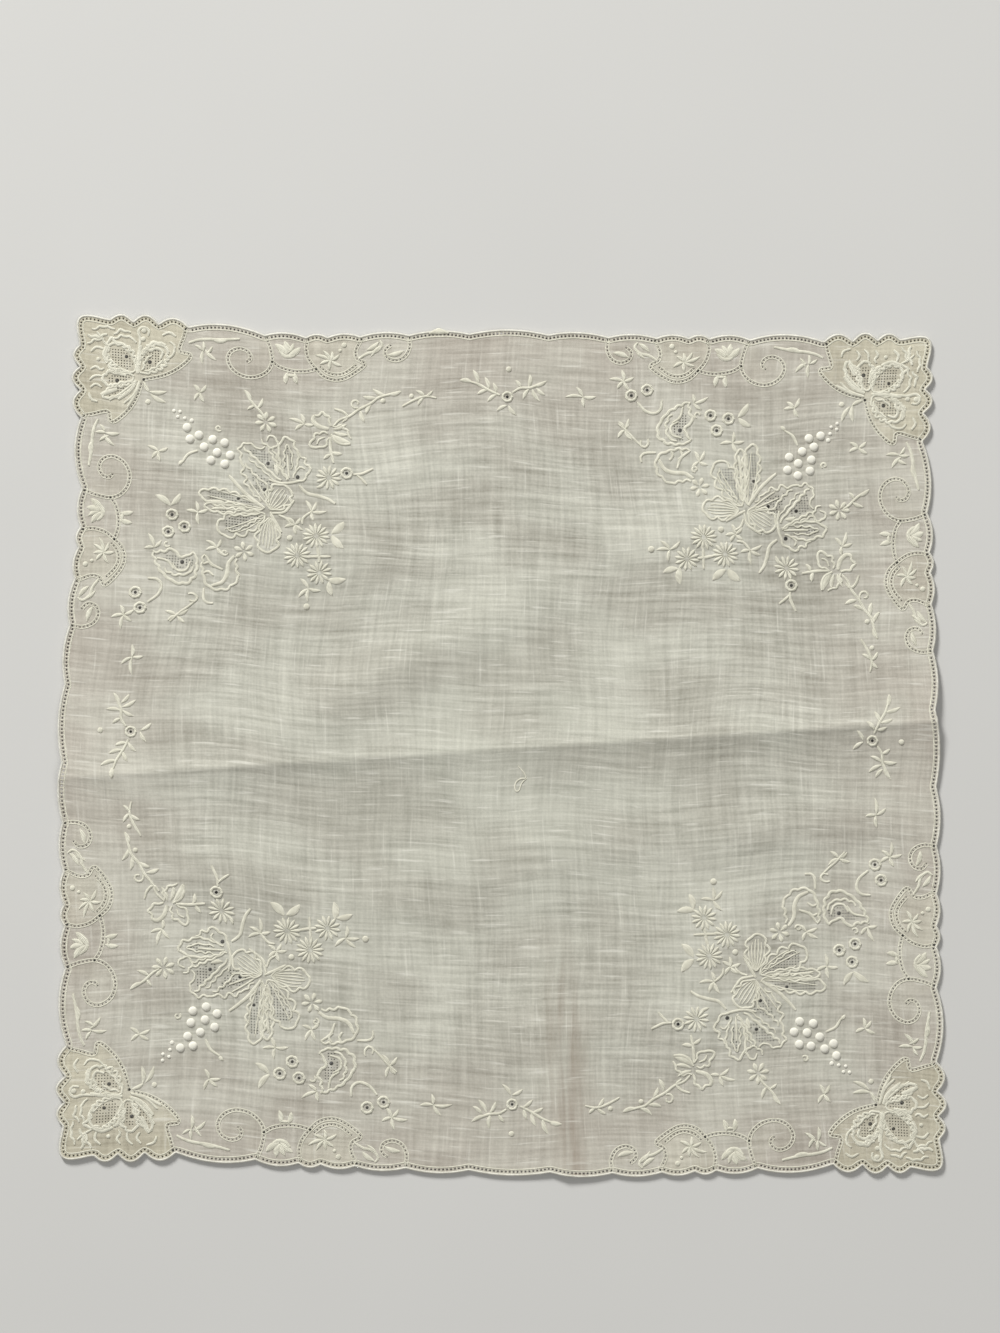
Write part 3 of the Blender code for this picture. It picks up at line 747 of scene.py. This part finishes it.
def all_holes(stitch):
    """(centres, radii, sides) of every hole in the cloth, the larger kinds first: a hole closer to an
    earlier one than the gap is left out."""
    hole, gap = stitch.hole / MM, 0.2
    mesh_pitch, mesh_radius = 0.92, 0.27
    singles = [(spray_places, (across, down), radius * EYELET_HOLE) for across, down, radius in EYELETS]
    singles.append((side_places, (0, 0), SIDE_RING[2] * EYELET_HOLE))
    singles += [(spray_places, (across, down), radius) for across, down, radius in CUT_HOLES]
    singles += [(corner_places, (across, down), radius) for across, down, radius in CORNER_HOLES]
    kinds = [(places([point]), radius, 12) for places, point, radius in singles]
    kinds.append((border_places(JUNCTIONS), stitch.junction / MM / 2, 8))
    kinds.append(([edge_row(stitch)], hole / 2, 6))
    kinds.append((hem_rows(stitch), hole * 0.34, 6))
    meshes = [(spray_places, leaf_outline(*leaf), 0.74) for leaf in OPEN_LEAVES]
    meshes += [(corner_places, leaf_outline(*leaf), 0.74) for leaf in CORNER_PETALS]
    meshes += [(spray_places, np.array(patch), 0.98) for patch in OPEN_PATCHES]
    for places, shape, share in meshes:
        kinds.append((places(open_mesh(shape, mesh_pitch, share)), mesh_radius, 4))
    centres = [np.concatenate(copies) for copies, _, _ in kinds]
    radii = np.repeat([radius for _, radius, _ in kinds], [len(kind) for kind in centres])
    sides = np.repeat([count for _, _, count in kinds], [len(kind) for kind in centres])
    centres = np.concatenate(centres)
    keep = np.ones(len(centres), bool)
    for place in range(1, len(centres)):
        apart = np.linalg.norm(centres[:place] - centres[place], axis=1) - radii[:place] - radii[place]
        keep[place] = not (keep[:place] & (apart < gap)).any()
    return centres[keep], radii[keep], sides[keep]


def sheet_lattice(step, edge, centres, radii):
    """The points inside the edge that carry the folds: rows along each crease, then an even lattice clear
    of them, of the edge and of every hole."""
    row_gap, lattice_gap, hole_gap, rim_gap = 0.9, 1.5, 0.35, 0.7
    steps = np.linspace(-HALF - 1, HALF + 1, round(2 * (HALF + 1) / step))
    points = as_it_lies(np.stack(np.meshgrid(steps, steps), axis=-1).reshape(-1, 2))
    rows = []
    for crease in CREASES.values():
        points = points[np.abs(crease_places(points, crease)[1]) > lattice_gap]
        run = evenly(np.array([crease["start"], crease["end"]], float), step * 0.6)
        rows += [run, beside(run, row_gap), beside(run, -row_gap)]
    points = np.concatenate([*rows, points])
    points = points[inside(points, edge)]
    clear = np.ones(len(points), bool)
    for part in np.array_split(np.arange(len(points)), 40):
        gap = np.linalg.norm(points[part, None] - centres[None], axis=2) - radii
        rim = np.linalg.norm(points[part, None] - edge[None], axis=2)
        clear[part] = (gap.min(axis=1) > hole_gap) & (rim.min(axis=1) > rim_gap)
    return points[clear]


# Materials


def add_node(material, kind, inputs, output=0, **settings):
    """Adds one shader node, sets or links its inputs by name or number, and returns one output."""
    tree = material.node_tree
    made = tree.nodes.new("ShaderNode" + kind)
    for name, value in settings.items():
        setattr(made, name, value)
    for name, value in inputs.items():
        if isinstance(value, bpy.types.NodeSocket):
            tree.links.new(value, made.inputs[name])
        else:
            made.inputs[name].default_value = value
    return made.outputs[output]


def new_material(name, roughness, sheen):
    """A material with its Principled shader, whose even values are set on its own sockets."""
    material = bpy.data.materials.new(name)
    material.use_nodes = True
    shader = material.node_tree.nodes["Principled BSDF"]
    for socket, value in (
        ("Roughness", roughness), ("Metallic", 0.0), ("IOR", 1.46), ("Specular IOR Level", 0.3),
        ("Sheen Weight", sheen), ("Sheen Roughness", 0.5),
    ):
        shader.inputs[socket].default_value = value
    return material, shader


def finish_material(material, shader, colour, normal):
    """Links a colour and a bumped normal to the shader."""
    material.node_tree.links.new(colour, shader.inputs["Base Color"])
    material.node_tree.links.new(normal, shader.inputs["Normal"])
    return material


def linen_material(cloth):
    """Sheer bleached linen, woven plain and washed soft. Hand-spun flax gives the eye long uneven slubs,
    most of them along the weft, gaps that show grey between thick threads, and soft patches where the
    weave has spread."""
    material, shader = new_material("bleached linen lawn", 0.82, 0.12)
    cut = add_node(material, "Attribute", {}, "Vector", attribute_name="cut")
    zones = add_node(material, "Attribute", {}, "Vector", attribute_name="zones")
    doubled, by_edge, by_middle = add_node(material, "SeparateXYZ", {0: zones}).node.outputs
    # The threads wander by up to 1.5 mm, as they do in a soft cloth that has been washed
    wander = add_node(material, "TexNoise", {"Vector": cut, "Scale": 1 / 45, "Detail": 0.0}, "Color")
    place = add_node(material, "VectorMath", {0: wander, 1: (6, 6, 0), 2: cut}, operation="MULTIPLY_ADD")
    # Uneven yarn is noise, each row the size of its grains along the weft and the warp in mm, and their
    # seed: long threads to fine grain, then the soft patches, then the thick places of weft, warp and
    # short flecks. The finest grain is a few real threads wide, because one is too fine to show
    grains = []
    for weft, warp, seed in (
        (38, 1.8, 3.1), (15, 0.9, 12.8), (2.6, 40, 22.5), (0.9, 13, 32.2), (0.9, 0.9, 41.9), (36, 24, 94.7),
        (13, 1.1, 57.7), (1.2, 20, 67.1), (3.2, 1.1, 83.9),
    ):
        where = add_node(material, "Mapping", {
            "Vector": place, "Location": (seed, seed * 0.7, 0), "Scale": (1 / weft, 1 / warp, 1)})
        grains.append(add_node(material, "TexNoise", {
            "Vector": where, "Scale": 1.0, "Detail": 1.0, "Roughness": 0.5}, "Fac", noise_dimensions="2D"))
    warp_yarn, patch = grains[2], grains[5]
    shares = (0.48, 0.42, 0.32, 0.26, 0.2, 0.56)
    tone = 0.5 - sum(shares) / 2
    for grain, share in zip(grains, shares):
        tone = add_node(material, "Math", {0: grain, 1: share, 2: tone}, operation="MULTIPLY_ADD")
    light = add_node(material, "MapRange", {"Value": tone, "From Min": 0.1, "From Max": 0.9})
    # How strong each kind of thick place is, and the noise where it begins and is full
    slubs = 0.0
    thick_kinds = ((0.42, 0.66, 0.8), (0.26, 0.68, 0.82), (0.7, 0.86, 0.96))
    for grain, (share, begin, full) in zip(grains[6:], thick_kinds):
        thick = add_node(material, "MapRange", {
            "Value": grain, "From Min": begin, "From Max": full, "To Max": share})
        slubs = add_node(material, "Math", {0: thick, 1: slubs}, operation="ADD", use_clamp=True)
    spread, packed = (
        add_node(material, "MapRange", {"Value": patch, "From Min": begin, "From Max": full, "To Max": share})
        for begin, full, share in ((0.56, 0.36, 0.1), (0.5, 0.66, 0.12)))
    blush = add_node(material, "Math", {0: by_edge, 1: 0.33, 2: spread}, operation="MULTIPLY_ADD")
    cool = add_node(material, "Math", {0: by_middle, 1: 0.28, 2: packed}, operation="MULTIPLY_ADD")
    # Painted shade for the fold of the upright crease lies along its lower half, in streaks along the warp
    soiled = add_node(material, "Attribute", {}, "Fac", attribute_name="soiled")
    streaks = add_node(material, "MapRange", {
        "Value": warp_yarn, "From Min": 0.7, "From Max": 0.35, "To Min": 0.12, "To Max": 0.5})
    soil = add_node(material, "Math", {0: soiled, 1: streaks}, operation="MULTIPLY")
    colour, hem = (
        add_node(material, "Mix", {0: light, 6: gap, 7: thread}, 2, data_type="RGBA")
        for gap, thread in ((cloth.linen_gap, cloth.linen_thread), (cloth.hem_gap, cloth.hem_thread)))
    for share, shade in ((blush, cloth.linen_blush), (cool, cloth.linen_cool), (doubled, hem),
                         (soil, cloth.linen_crease_shade), (slubs, cloth.linen_slub)):
        colour = add_node(material, "Mix", {0: share, 6: colour, 7: shade}, 2, data_type="RGBA")
    # The weave: its threads pass over and under each other, so its height is the product of two sines.
    # Their spacing is drawn coarser than that of real lawn, which is too fine to show in the render
    along, across, _ = add_node(material, "SeparateXYZ", {0: cut}).node.outputs
    turn = math.tau / (cloth.thread_spacing / MM)
    height = 0.25
    for way in (along, across):
        angle = add_node(material, "Math", {0: way, 1: turn}, operation="MULTIPLY")
        wave = add_node(material, "Math", {0: angle}, operation="SINE")
        height = add_node(material, "Math", {0: wave, 1: height}, operation="MULTIPLY")
    height = add_node(material, "Math", {0: height, 1: tone}, operation="ADD")
    normal = add_node(material, "Bump", {
        "Strength": 0.5, "Distance": cloth.thread_spacing * 0.5, "Height": height})
    return finish_material(material, shader, colour, normal)


def thread_material(name, stitch, colours=None, roughness=0.55):
    """Mercerised cotton worked in close stitches. Each stitch is a little ridge across the line, so the
    thread has a soft satin shine broken by fine grooves. The colours are its own and its darker places'."""
    colour, shade = colours or (stitch.thread, stitch.thread_shade)
    material, shader = new_material(name, roughness, 0.25)
    place = add_node(material, "Attribute", {}, "Vector", attribute_name="along")
    along, around, _ = add_node(material, "SeparateXYZ", {0: place}).node.outputs
    slant = add_node(material, "Math", {0: around, 1: 0.6, 2: along}, operation="MULTIPLY_ADD")
    turn = math.tau / (stitch.stitch_spacing / MM)
    angle = add_node(material, "Math", {0: slant, 1: turn}, operation="MULTIPLY")
    groove = add_node(material, "Math", {0: angle}, operation="SINE")
    # Its colour drifts over a few mm, as the twist of the thread turns
    where = add_node(material, "TexCoord", {}, "Object")
    drift = add_node(material, "TexNoise", {"Vector": where, "Scale": 1 / (2.5 * MM)}, "Fac")
    share = add_node(material, "MapRange", {"Value": drift, "From Min": 0.35, "From Max": 0.65})
    mix = add_node(material, "Mix", {0: share, 6: shade, 7: colour}, 2, data_type="RGBA")
    normal = add_node(material, "Bump", {
        "Strength": 0.6, "Distance": stitch.stitch_spacing * 0.25, "Height": groove})
    return finish_material(material, shader, mix, normal)


def floor_material(stage):
    """Matt painted board: plain and pale, with the faintest mottle and a roller's fine orange peel."""
    material, shader = new_material("matt painted board", 0.9, 0.0)
    where = add_node(material, "TexCoord", {}, "Object")
    mottle = add_node(material, "TexNoise", {"Vector": where, "Scale": 9.0}, "Fac")
    share = add_node(material, "MapRange", {
        "Value": mottle, "From Min": 0.3, "From Max": 0.7, "To Max": 0.25})
    colour = add_node(
        material, "Mix", {0: share, 6: stage.floor, 7: stage.floor_shade}, 2, data_type="RGBA")
    peel = add_node(material, "TexNoise", {"Vector": where, "Scale": 1 / (1.5 * MM)}, "Fac")
    normal = add_node(material, "Bump", {"Strength": 0.05, "Distance": 0.1 * MM, "Height": peel})
    return finish_material(material, shader, colour, normal)


# Settings


def length_setting(name, description, default):
    """A setting of a length, with its default in mm."""
    return bpy.props.FloatProperty(name=name, description=description, default=default * MM, unit="LENGTH")


def colour_setting(name, description, default):
    """A setting of a colour, with its default as an sRGB hex colour."""
    return bpy.props.FloatVectorProperty(
        name=name, description=description, default=linear(default), size=4, subtype="COLOR")


class ClothSettings(bpy.types.PropertyGroup):
    """The sizes and colours of the linen."""

    thickness: length_setting("Thickness", "Thickness of the linen", 0.25)
    facing: length_setting("Facing", "What the doubled hem adds to the thickness", 0.14)
    clearance: length_setting("Clearance", "How far the stitching underneath holds the linen up", 0.7)
    lattice: length_setting("Lattice", "Spacing of the points that carry the folds", 2.6)
    thread_spacing: length_setting("Thread spacing", "Spacing of the woven threads", 0.36)
    linen_gap: colour_setting("Gaps", "Colour where the weave is thin", "#8f8d80")
    linen_thread: colour_setting("Threads", "Colour of the woven threads", "#dbd9cb")
    linen_slub: colour_setting("Slubs", "Colour of the thick places in the yarn", "#eae8dc")
    linen_blush: colour_setting("Blush", "Warm tone towards the edges", "#bdb0a4")
    linen_cool: colour_setting("Cool middle", "Paler, cooler tone of the middle", "#bfc0b1")
    # Colour of the painted shade laid along the lower half of the upright crease, in place of the shade of
    # its fold
    linen_crease_shade: colour_setting("Painted shade", "Soil along the upright crease", "#968474")
    hem_thread: colour_setting("Hem threads", "Creamier threads of the doubled cloth", "#d9d3ba")
    hem_gap: colour_setting("Hem gaps", "Colour of the doubled cloth where the weave is thin", "#9f9983")


class StitchSettings(bpy.types.PropertyGroup):
    """The sizes and colours of the needlework."""

    pitch: length_setting("Pin-stitch pitch", "Spacing of the pin-stitched holes", 1.26)
    hole: length_setting("Pin-stitch hole", "Width of a pin-stitched hole", 0.68)
    junction: length_setting("Junction hole", "Width of the hole where two lines of stitching meet", 1.0)
    row_inset: length_setting("Row inset", "How far inside the edge the row of holes runs", 1.4)
    bead: length_setting("Rolled edge", "Width of the overcast edge", 0.85)
    relief: length_setting("Relief", "How far the embroidery stands out", 0.22)
    stitch_spacing: length_setting("Stitch spacing", "Spacing of the satin stitches", 0.4)
    thread: colour_setting("Thread", "Colour of the embroidery thread", "#e4e1ce")
    thread_shade: colour_setting("Thread shade", "Its darker places", "#d3d0bd")
    white: colour_setting("White thread", "Colour of the padded dots", "#f3f0e1")
    white_shade: colour_setting("White shade", "Its darker places", "#e9e6d8")
    edge_thread: colour_setting("Edge thread", "Colour of the overcast edge", "#e0ddd0")
    edge_shade: colour_setting("Edge shade", "Its darker places", "#cfccbe")


class StageSettings(bpy.types.PropertyGroup):
    """The floor, the lamps and the camera."""

    floor: colour_setting("Floor", "Colour of the floor", "#cccbc7")
    floor_shade: colour_setting("Floor shade", "Its darker places", "#c4c3bf")
    sky: colour_setting("Sky", "Colour of the light all round", "#f4f4f3")
    fill: bpy.props.FloatProperty(name="Fill", description="Strength of the light all round", default=0.33)
    key: bpy.props.FloatProperty(
        name="Key lamp", description="Power of the main lamp", default=158.0, unit="POWER")
    lens: bpy.props.FloatProperty(name="Lens", description="Focal length in mm", default=85.0)
    frame_height: length_setting("Frame height", "Height that the picture takes in", 440)
    aim: bpy.props.FloatVectorProperty(
        name="Aim", description="Where the camera looks, from the middle of the cloth", size=2,
        default=(-0.4 * MM, 26.2 * MM), unit="LENGTH")


# One operator for each piece or group of like pieces


class MakeSheet(bpy.types.Operator):
    """The linen itself, with its scalloped outline, its folds and every stitched hole."""

    bl_idname = "handkerchief.sheet"
    bl_label = "Linen sheet"

    def execute(self, context):
        cloth, stitch = context.scene.handkerchief_cloth, context.scene.handkerchief_stitch
        edge = as_it_lies(evenly(beside(outline(), stitch.bead / MM / 2, closed=True), 0.9, closed=True))
        centres, radii, sides = all_holes(stitch)
        centres = as_it_lies(centres)
        loops = [centre + radius * round_points((np.arange(count) + 0.5) * math.tau / count)
                 for centre, radius, count in zip(centres, radii, sides)]
        lattice = sheet_lattice(cloth.lattice / MM, edge, centres, radii)
        starts = len(edge) + np.concatenate([[0], np.cumsum(sides)]).astype(int)
        rings = [list(range(len(edge)))[::-1]] + [list(range(a, b)) for a, b in zip(starts[:-1], starts[1:])]
        points = np.concatenate([edge, *loops, lattice])
        made = delaunay_2d_cdt([Vector(point) for point in points], [], rings, 1, 1e-5)
        # The faces that lie in one ring alone are cloth, and those that lie in two are holes
        faces = [tuple(face) for face, owners in zip(made[2], made[5]) if len(owners) == 1]
        flat = np.array([tuple(point) for point in made[0]])
        cut = unlaid(flat)
        _, under, top = laid(cut, cloth)
        count = len(flat)
        over = [tuple(corner + count for corner in face) for face in faces]
        walls = [(a, a + count, b + count, b) for ring in rings for a, b in zip(ring, ring[1:] + ring[:1])]
        inwards = HALF - np.abs(cut).max(axis=1)
        cream = dense_share(cut) * (1 - CREAM_LOSS * np.clip(inwards / CREAM_REACH, 0, 1))
        blush = np.clip(1 - inwards / BLUSH_REACH, 0, 1)
        cool = np.exp(-(((cut - COOL_MIDDLE) / COOL_REACH) ** 2).sum(axis=1))
        # Painted shade to the right of the upright crease's lower half, standing in for the shade of its fold
        aside = crease_places(flat, CREASES["upright"])[1]
        soiled = np.exp(-(((aside - CREASE_SHADE_ASIDE) / CREASE_SHADE_REACH) ** 2))
        soiled *= np.clip((CREASE_SHADE_TOP - flat[:, 1]) / CREASE_SHADE_FADE, 0, 1)
        sheet = add_mesh(
            "linen_sheet", np.column_stack([np.tile(flat - MIDDLE, (2, 1)), np.concatenate([under, top])]),
            [face[::-1] for face in faces] + over + walls, linen_material(cloth), sharp=40,
            cut=np.tile(np.column_stack([cut, np.zeros(count)]), (2, 1)),
            zones=np.tile(np.column_stack([cream, blush, cool]), (2, 1)),
            soiled=np.tile(np.column_stack([soiled] * 3), (2, 1)))
        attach(sheet, "root")
        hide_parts("cloth")
        return {"FINISHED"}


def unlaid(flat, turns=12):
    """The places on the cut cloth of points as it lies, found by stepping back by the error."""
    cut = flat.copy()
    for _ in range(turns):
        cut += flat - as_it_lies(cut)
    return cut


class MakeEdge(bpy.types.Operator):
    """The rolled and overcast edge, and the pin-stitching just inside it."""

    bl_idname = "handkerchief.edge"
    bl_label = "Rolled edge"

    def execute(self, context):
        cloth, stitch = context.scene.handkerchief_cloth, context.scene.handkerchief_stitch
        bead = stitch.bead / MM / 2
        roll = evenly(beside(outline(), bead, closed=True), 0.5, closed=True)
        swell = 1 + 0.07 * np.cos(np.arange(len(roll)) * math.tau / 2.5)
        edge = Stitching(cloth, sink=0.85)
        edge.add(roll[None], bead * swell, 0.26 * swell, closed=True)
        colours = (stitch.edge_thread, stitch.edge_shade)
        edge.finish("rolled_edge", thread_material("bleached cotton, overcast", stitch, colours))
        bars = Stitching(cloth, sides=4, sink=0.2)
        for row, long in [(edge_row(stitch), 1.4)] + [(row, 1.0) for row in hem_rows(stitch)]:
            ahead = np.diff(row, axis=0)
            aside = turned(ahead) / np.linalg.norm(ahead, axis=1)[:, None]
            share = np.array([-0.5, 0.0, 0.5]) * long
            paths = (row[1:, None] + row[:-1, None]) / 2 + aside[:, None] * share[:, None]
            bars.add(paths, np.array([0.14, 0.18, 0.14]), 0.1)
        bars.finish("pin_stitch_bars", thread_material("cotton pin-stitch", stitch))
        return {"FINISHED"}


class MakeHemCords(bpy.types.Operator):
    """The fine whipped cords along both sides of each line of pin-stitching in the hem."""

    bl_idname = "handkerchief.hem_cords"
    bl_label = "Hem cords"

    def execute(self, context):
        cloth, stitch = context.scene.handkerchief_cloth, context.scene.handkerchief_stitch
        cords = Stitching(cloth, sides=6)
        width, rise = 0.4, 0.12
        for line in HEM_LINES.values():
            for aside in (-0.55, 0.55):
                cords.stem(border_places(beside(smooth_path(line, 0.8), aside)), width, rise, step=0.8)
        inner = evenly(beside(outline(), stitch.row_inset / MM + 0.75, closed=True), 0.9, closed=True)
        cords.add(inner[None], width / 2, rise, closed=True)
        cords.finish("hem_cords", thread_material("cotton whipping", stitch))
        return {"FINISHED"}


class MakeCornerFlowers(bpy.types.Operator):
    """The openwork flower in each corner of the hem, and the sprigs that fill the scallops."""

    bl_idname = "handkerchief.corner_flowers"
    bl_label = "Corner flowers and border sprigs"

    def execute(self, context):
        cloth, stitch = context.scene.handkerchief_cloth, context.scene.handkerchief_stitch
        rise = stitch.relief / MM
        thread = thread_material("cotton satin stitch, border", stitch)
        flowers = Stitching(cloth)
        edge_width, rib_width = 1.05, 0.55
        for petal in CORNER_PETALS:
            flowers.stem(corner_places(leaf_outline(*petal)), edge_width, rise, step=0.55)
            for across in (-0.75, 0.72):
                flowers.stem(corner_places(leaf_rib(petal, across, 0.75)), rib_width, rise * 0.6)
        flowers.work(corner_places, rise, CORNER_STEMS, CORNER_LOBED, depth=0.55)
        flowers.work(corner_places, rise, leaves=CORNER_LEAVES, berries=CORNER_BERRIES)
        flowers.finish("corner_flowers", thread)
        sprigs = Stitching(cloth)
        sprigs.work(border_places, rise * 0.9, stems=BORDER_STEMS)
        sprigs.work(border_places, rise, leaves=BORDER_LEAVES, berries=BORDER_BERRIES, plump=1.2)
        sprigs.finish("border_sprigs", thread)
        return {"FINISHED"}


class MakeSprays(bpy.types.Operator):
    """The four corner sprays: openwork leaves and petals, stems, satin leaves and sprigs."""

    bl_idname = "handkerchief.sprays"
    bl_label = "Corner sprays"

    def execute(self, context):
        cloth, stitch = context.scene.handkerchief_cloth, context.scene.handkerchief_stitch
        rise = stitch.relief / MM
        thread = thread_material("cotton satin stitch, sprays", stitch)
        petals = Stitching(cloth)
        edge_width, rib_width, curl_width, arm_width = 0.85, 0.5, 0.8, 1.25
        rays = (-0.7, -0.42, -0.14, 0.14, 0.42, 0.7)
        for rows, ribs in ((OPEN_LEAVES, (-0.72, 0.1, 0.6)), (RAYED_LEAVES, rays)):
            for petal in rows:
                petals.stem(spray_places(leaf_outline(*petal)), edge_width, rise, step=0.5)
                for across in ribs:
                    rib = leaf_rib(petal, across, 0.9 - 0.3 * abs(across))
                    petals.stem(spray_places(rib), rib_width, rise * 0.6)
        petals.finish("openwork_petals", thread)
        stems = Stitching(cloth)
        stems.work(spray_places, rise, SPRAY_STEMS, SPRAY_LOBED)
        for across, down, radius, turns, start in CURLS:
            share = np.linspace(0, 1, 24)
            size = radius * (1 - 0.55 * share)
            angle = math.radians(start) + math.tau * turns * share
            curl = (across, down) + size[:, None] * round_points(angle)
            stems.stem(spray_places(curl), curl_width, rise * 0.9, step=0.6)
        stems.finish("stems_and_outlines", thread)
        leaves = Stitching(cloth)
        for middle, ends in SPRIGS:
            for end in ends:
                leaves.leaf(spray_places(middle), spray_places(end), arm_width, rise)
        leaves.work(spray_places, rise, leaves=LEAVES, berries=BERRIES, plump=1.5)
        leaves.finish("satin_leaves", thread)
        return {"FINISHED"}


class MakeDaisies(bpy.types.Operator):
    """The daisies and star flowers, petal by petal."""

    bl_idname = "handkerchief.daisies"
    bl_label = "Daisies"

    def execute(self, context):
        cloth, stitch = context.scene.handkerchief_cloth, context.scene.handkerchief_stitch
        rise = stitch.relief / MM * 1.2
        daisies = Stitching(cloth)
        for rows, width in ((DAISIES, 1.05), (STARS, 1.5)):
            for across, down, radius, petals in rows:
                for petal in range(petals):
                    tip = radius * round_points(math.tau * (petal + 0.3) / petals)
                    base, tip = spray_places((across, down) + tip * 0.16), spray_places((across, down) + tip)
                    daisies.leaf(base, tip, width, rise, bend=0.0, belly=1.5)
        daisies.finish("daisies", thread_material("cotton satin stitch, petals", stitch))
        return {"FINISHED"}


class MakeEyelets(bpy.types.Operator):
    """The buttonholed rings round the eyelets."""

    bl_idname = "handkerchief.eyelets"
    bl_label = "Eyelet rings"

    def execute(self, context):
        cloth, stitch = context.scene.handkerchief_cloth, context.scene.handkerchief_stitch
        rings = Stitching(cloth)
        places = [(spray_places((across, down)), radius) for across, down, radius in EYELETS]
        for centres, radius in places + [(side_places((0, 0)), SIDE_RING[2])]:
            width = radius * 0.42
            rings.ring(centres, radius - width / 2, width, stitch.relief / MM * 1.3, wedges=7)
        rings.finish("eyelet_rings", thread_material("cotton buttonhole stitch", stitch))
        return {"FINISHED"}


class MakeDots(bpy.types.Operator):
    """The padded dots of each corner's grapes, with the small berries that trail from them."""

    bl_idname = "handkerchief.dots"
    bl_label = "Padded dots"

    def execute(self, context):
        cloth, stitch = context.scene.handkerchief_cloth, context.scene.handkerchief_stitch
        dots = Stitching(cloth)
        dot_radius, dot_rise, berry_rise = 1.45, 0.62, 0.3
        dots.dome(np.concatenate(spray_places(DOT_CLUSTER)), dot_radius, dot_rise, rings=7, around=18)
        for across, down, radius in BERRY_TAIL:
            dots.dome(spray_places((across, down)), radius, berry_rise)
        colours = (stitch.white, stitch.white_shade)
        dots.finish("padded_dots", thread_material("padded cotton satin stitch", stitch, colours, 0.5))
        return {"FINISHED"}


class MakeSideSprays(bpy.types.Operator):
    """The small spray in the middle of each side, a loose thread and the tuft on the upper edge."""

    bl_idname = "handkerchief.side_sprays"
    bl_label = "Side sprays"

    def execute(self, context):
        cloth, stitch = context.scene.handkerchief_cloth, context.scene.handkerchief_stitch
        sprays = Stitching(cloth)
        sprays.work(side_places, stitch.relief / MM, SIDE_STEMS, (), SIDE_LEAVES, SIDE_BERRIES)
        sprays.stem([smooth_path(LOOSE_THREAD)], 0.5, 0.16, step=0.6)
        sprays.stem([smooth_path(EDGE_TUFT)], 1.1, 0.3, step=0.5)
        sprays.leaf([EDGE_TUFT[0]], [EDGE_TUFT[-1]], 1.9, 0.35, bend=-0.1)
        sprays.finish("side_sprays", thread_material("cotton satin stitch, sides", stitch))
        return {"FINISHED"}


class MakeStage(bpy.types.Operator):
    """A plain pale floor, a soft key lamp from the upper left, and a camera straight above."""

    bl_idname = "handkerchief.stage"
    bl_label = "Stage"

    def execute(self, context):
        scene, stage = context.scene, context.scene.handkerchief_stage
        reach, fill_share = 9.0, 0.42
        mesh = bpy.data.meshes.new("floor")
        corners = [(-reach, -reach, 0), (reach, -reach, 0), (reach, reach, 0), (-reach, reach, 0)]
        mesh.from_pydata(corners, [], [(0, 1, 2, 3)])
        mesh.materials.append(floor_material(stage))
        floor = bpy.data.objects.new("floor", mesh)
        scene.collection.objects.link(floor)
        for name, place, size, power in (
            ("key lamp", (-1.3, 2.75, 1.6), 0.9, stage.key),
            ("fill lamp", (3.2, -2.4, 4.8), 3.2, stage.key * fill_share),
        ):
            data = bpy.data.lights.new(name, "AREA")
            data.shape, data.size, data.energy = "DISK", size, power
            lamp = bpy.data.objects.new(name, data)
            lamp.location = place
            lamp.rotation_euler = (-Vector(place)).to_track_quat("-Z", "Y").to_euler()
            scene.collection.objects.link(lamp)
        world = bpy.data.worlds.new("studio")
        world.use_nodes = True
        sky = world.node_tree.nodes["Background"]
        sky.inputs["Color"].default_value = stage.sky
        sky.inputs["Strength"].default_value = stage.fill
        scene.world = world
        scene.view_settings.view_transform = "Standard"
        data = bpy.data.cameras.new("camera")
        data.lens = stage.lens
        camera = bpy.data.objects.new("camera", data)
        camera.location = (*stage.aim, stage.frame_height * stage.lens / data.sensor_width)
        scene.collection.objects.link(camera)
        scene.camera = camera
        return {"FINISHED"}


class HandkerchiefPanel(bpy.types.Panel):
    """The handkerchief's settings and its steps, in the order they are made."""

    bl_idname = "VIEW3D_PT_handkerchief"
    bl_label = "Handkerchief"
    bl_space_type = "VIEW_3D"
    bl_region_type = "UI"
    bl_category = "Handkerchief"

    def draw(self, context):
        for group in SETTINGS:
            settings = getattr(context.scene, group)
            for name in settings.__annotations__:
                self.layout.prop(settings, name)
        for step in STEPS:
            self.layout.operator(step.bl_idname)


STEPS = (
    MakeSheet, MakeEdge, MakeHemCords, MakeCornerFlowers, MakeSprays, MakeDaisies, MakeEyelets, MakeDots,
    MakeSideSprays, MakeStage,
)
SETTINGS = {
    "handkerchief_cloth": ClothSettings,
    "handkerchief_stitch": StitchSettings,
    "handkerchief_stage": StageSettings,
}


def register():
    """Registers the settings, the operators and the panel."""
    for kind in (*SETTINGS.values(), *STEPS, HandkerchiefPanel):
        bpy.utils.register_class(kind)
    for name, kind in SETTINGS.items():
        setattr(bpy.types.Scene, name, bpy.props.PointerProperty(type=kind))


def unregister():
    """Takes all of them out again."""
    for name in SETTINGS:
        delattr(bpy.types.Scene, name)
    for kind in (HandkerchiefPanel, *reversed(STEPS), *SETTINGS.values()):
        bpy.utils.unregister_class(kind)


def main():
    """Registers the settings, the operators and the panel, and makes every piece."""
    register()
    for step in STEPS:
        group, name = step.bl_idname.split(".")
        getattr(getattr(bpy.ops, group), name)()


if __name__ == "__main__":
    main()
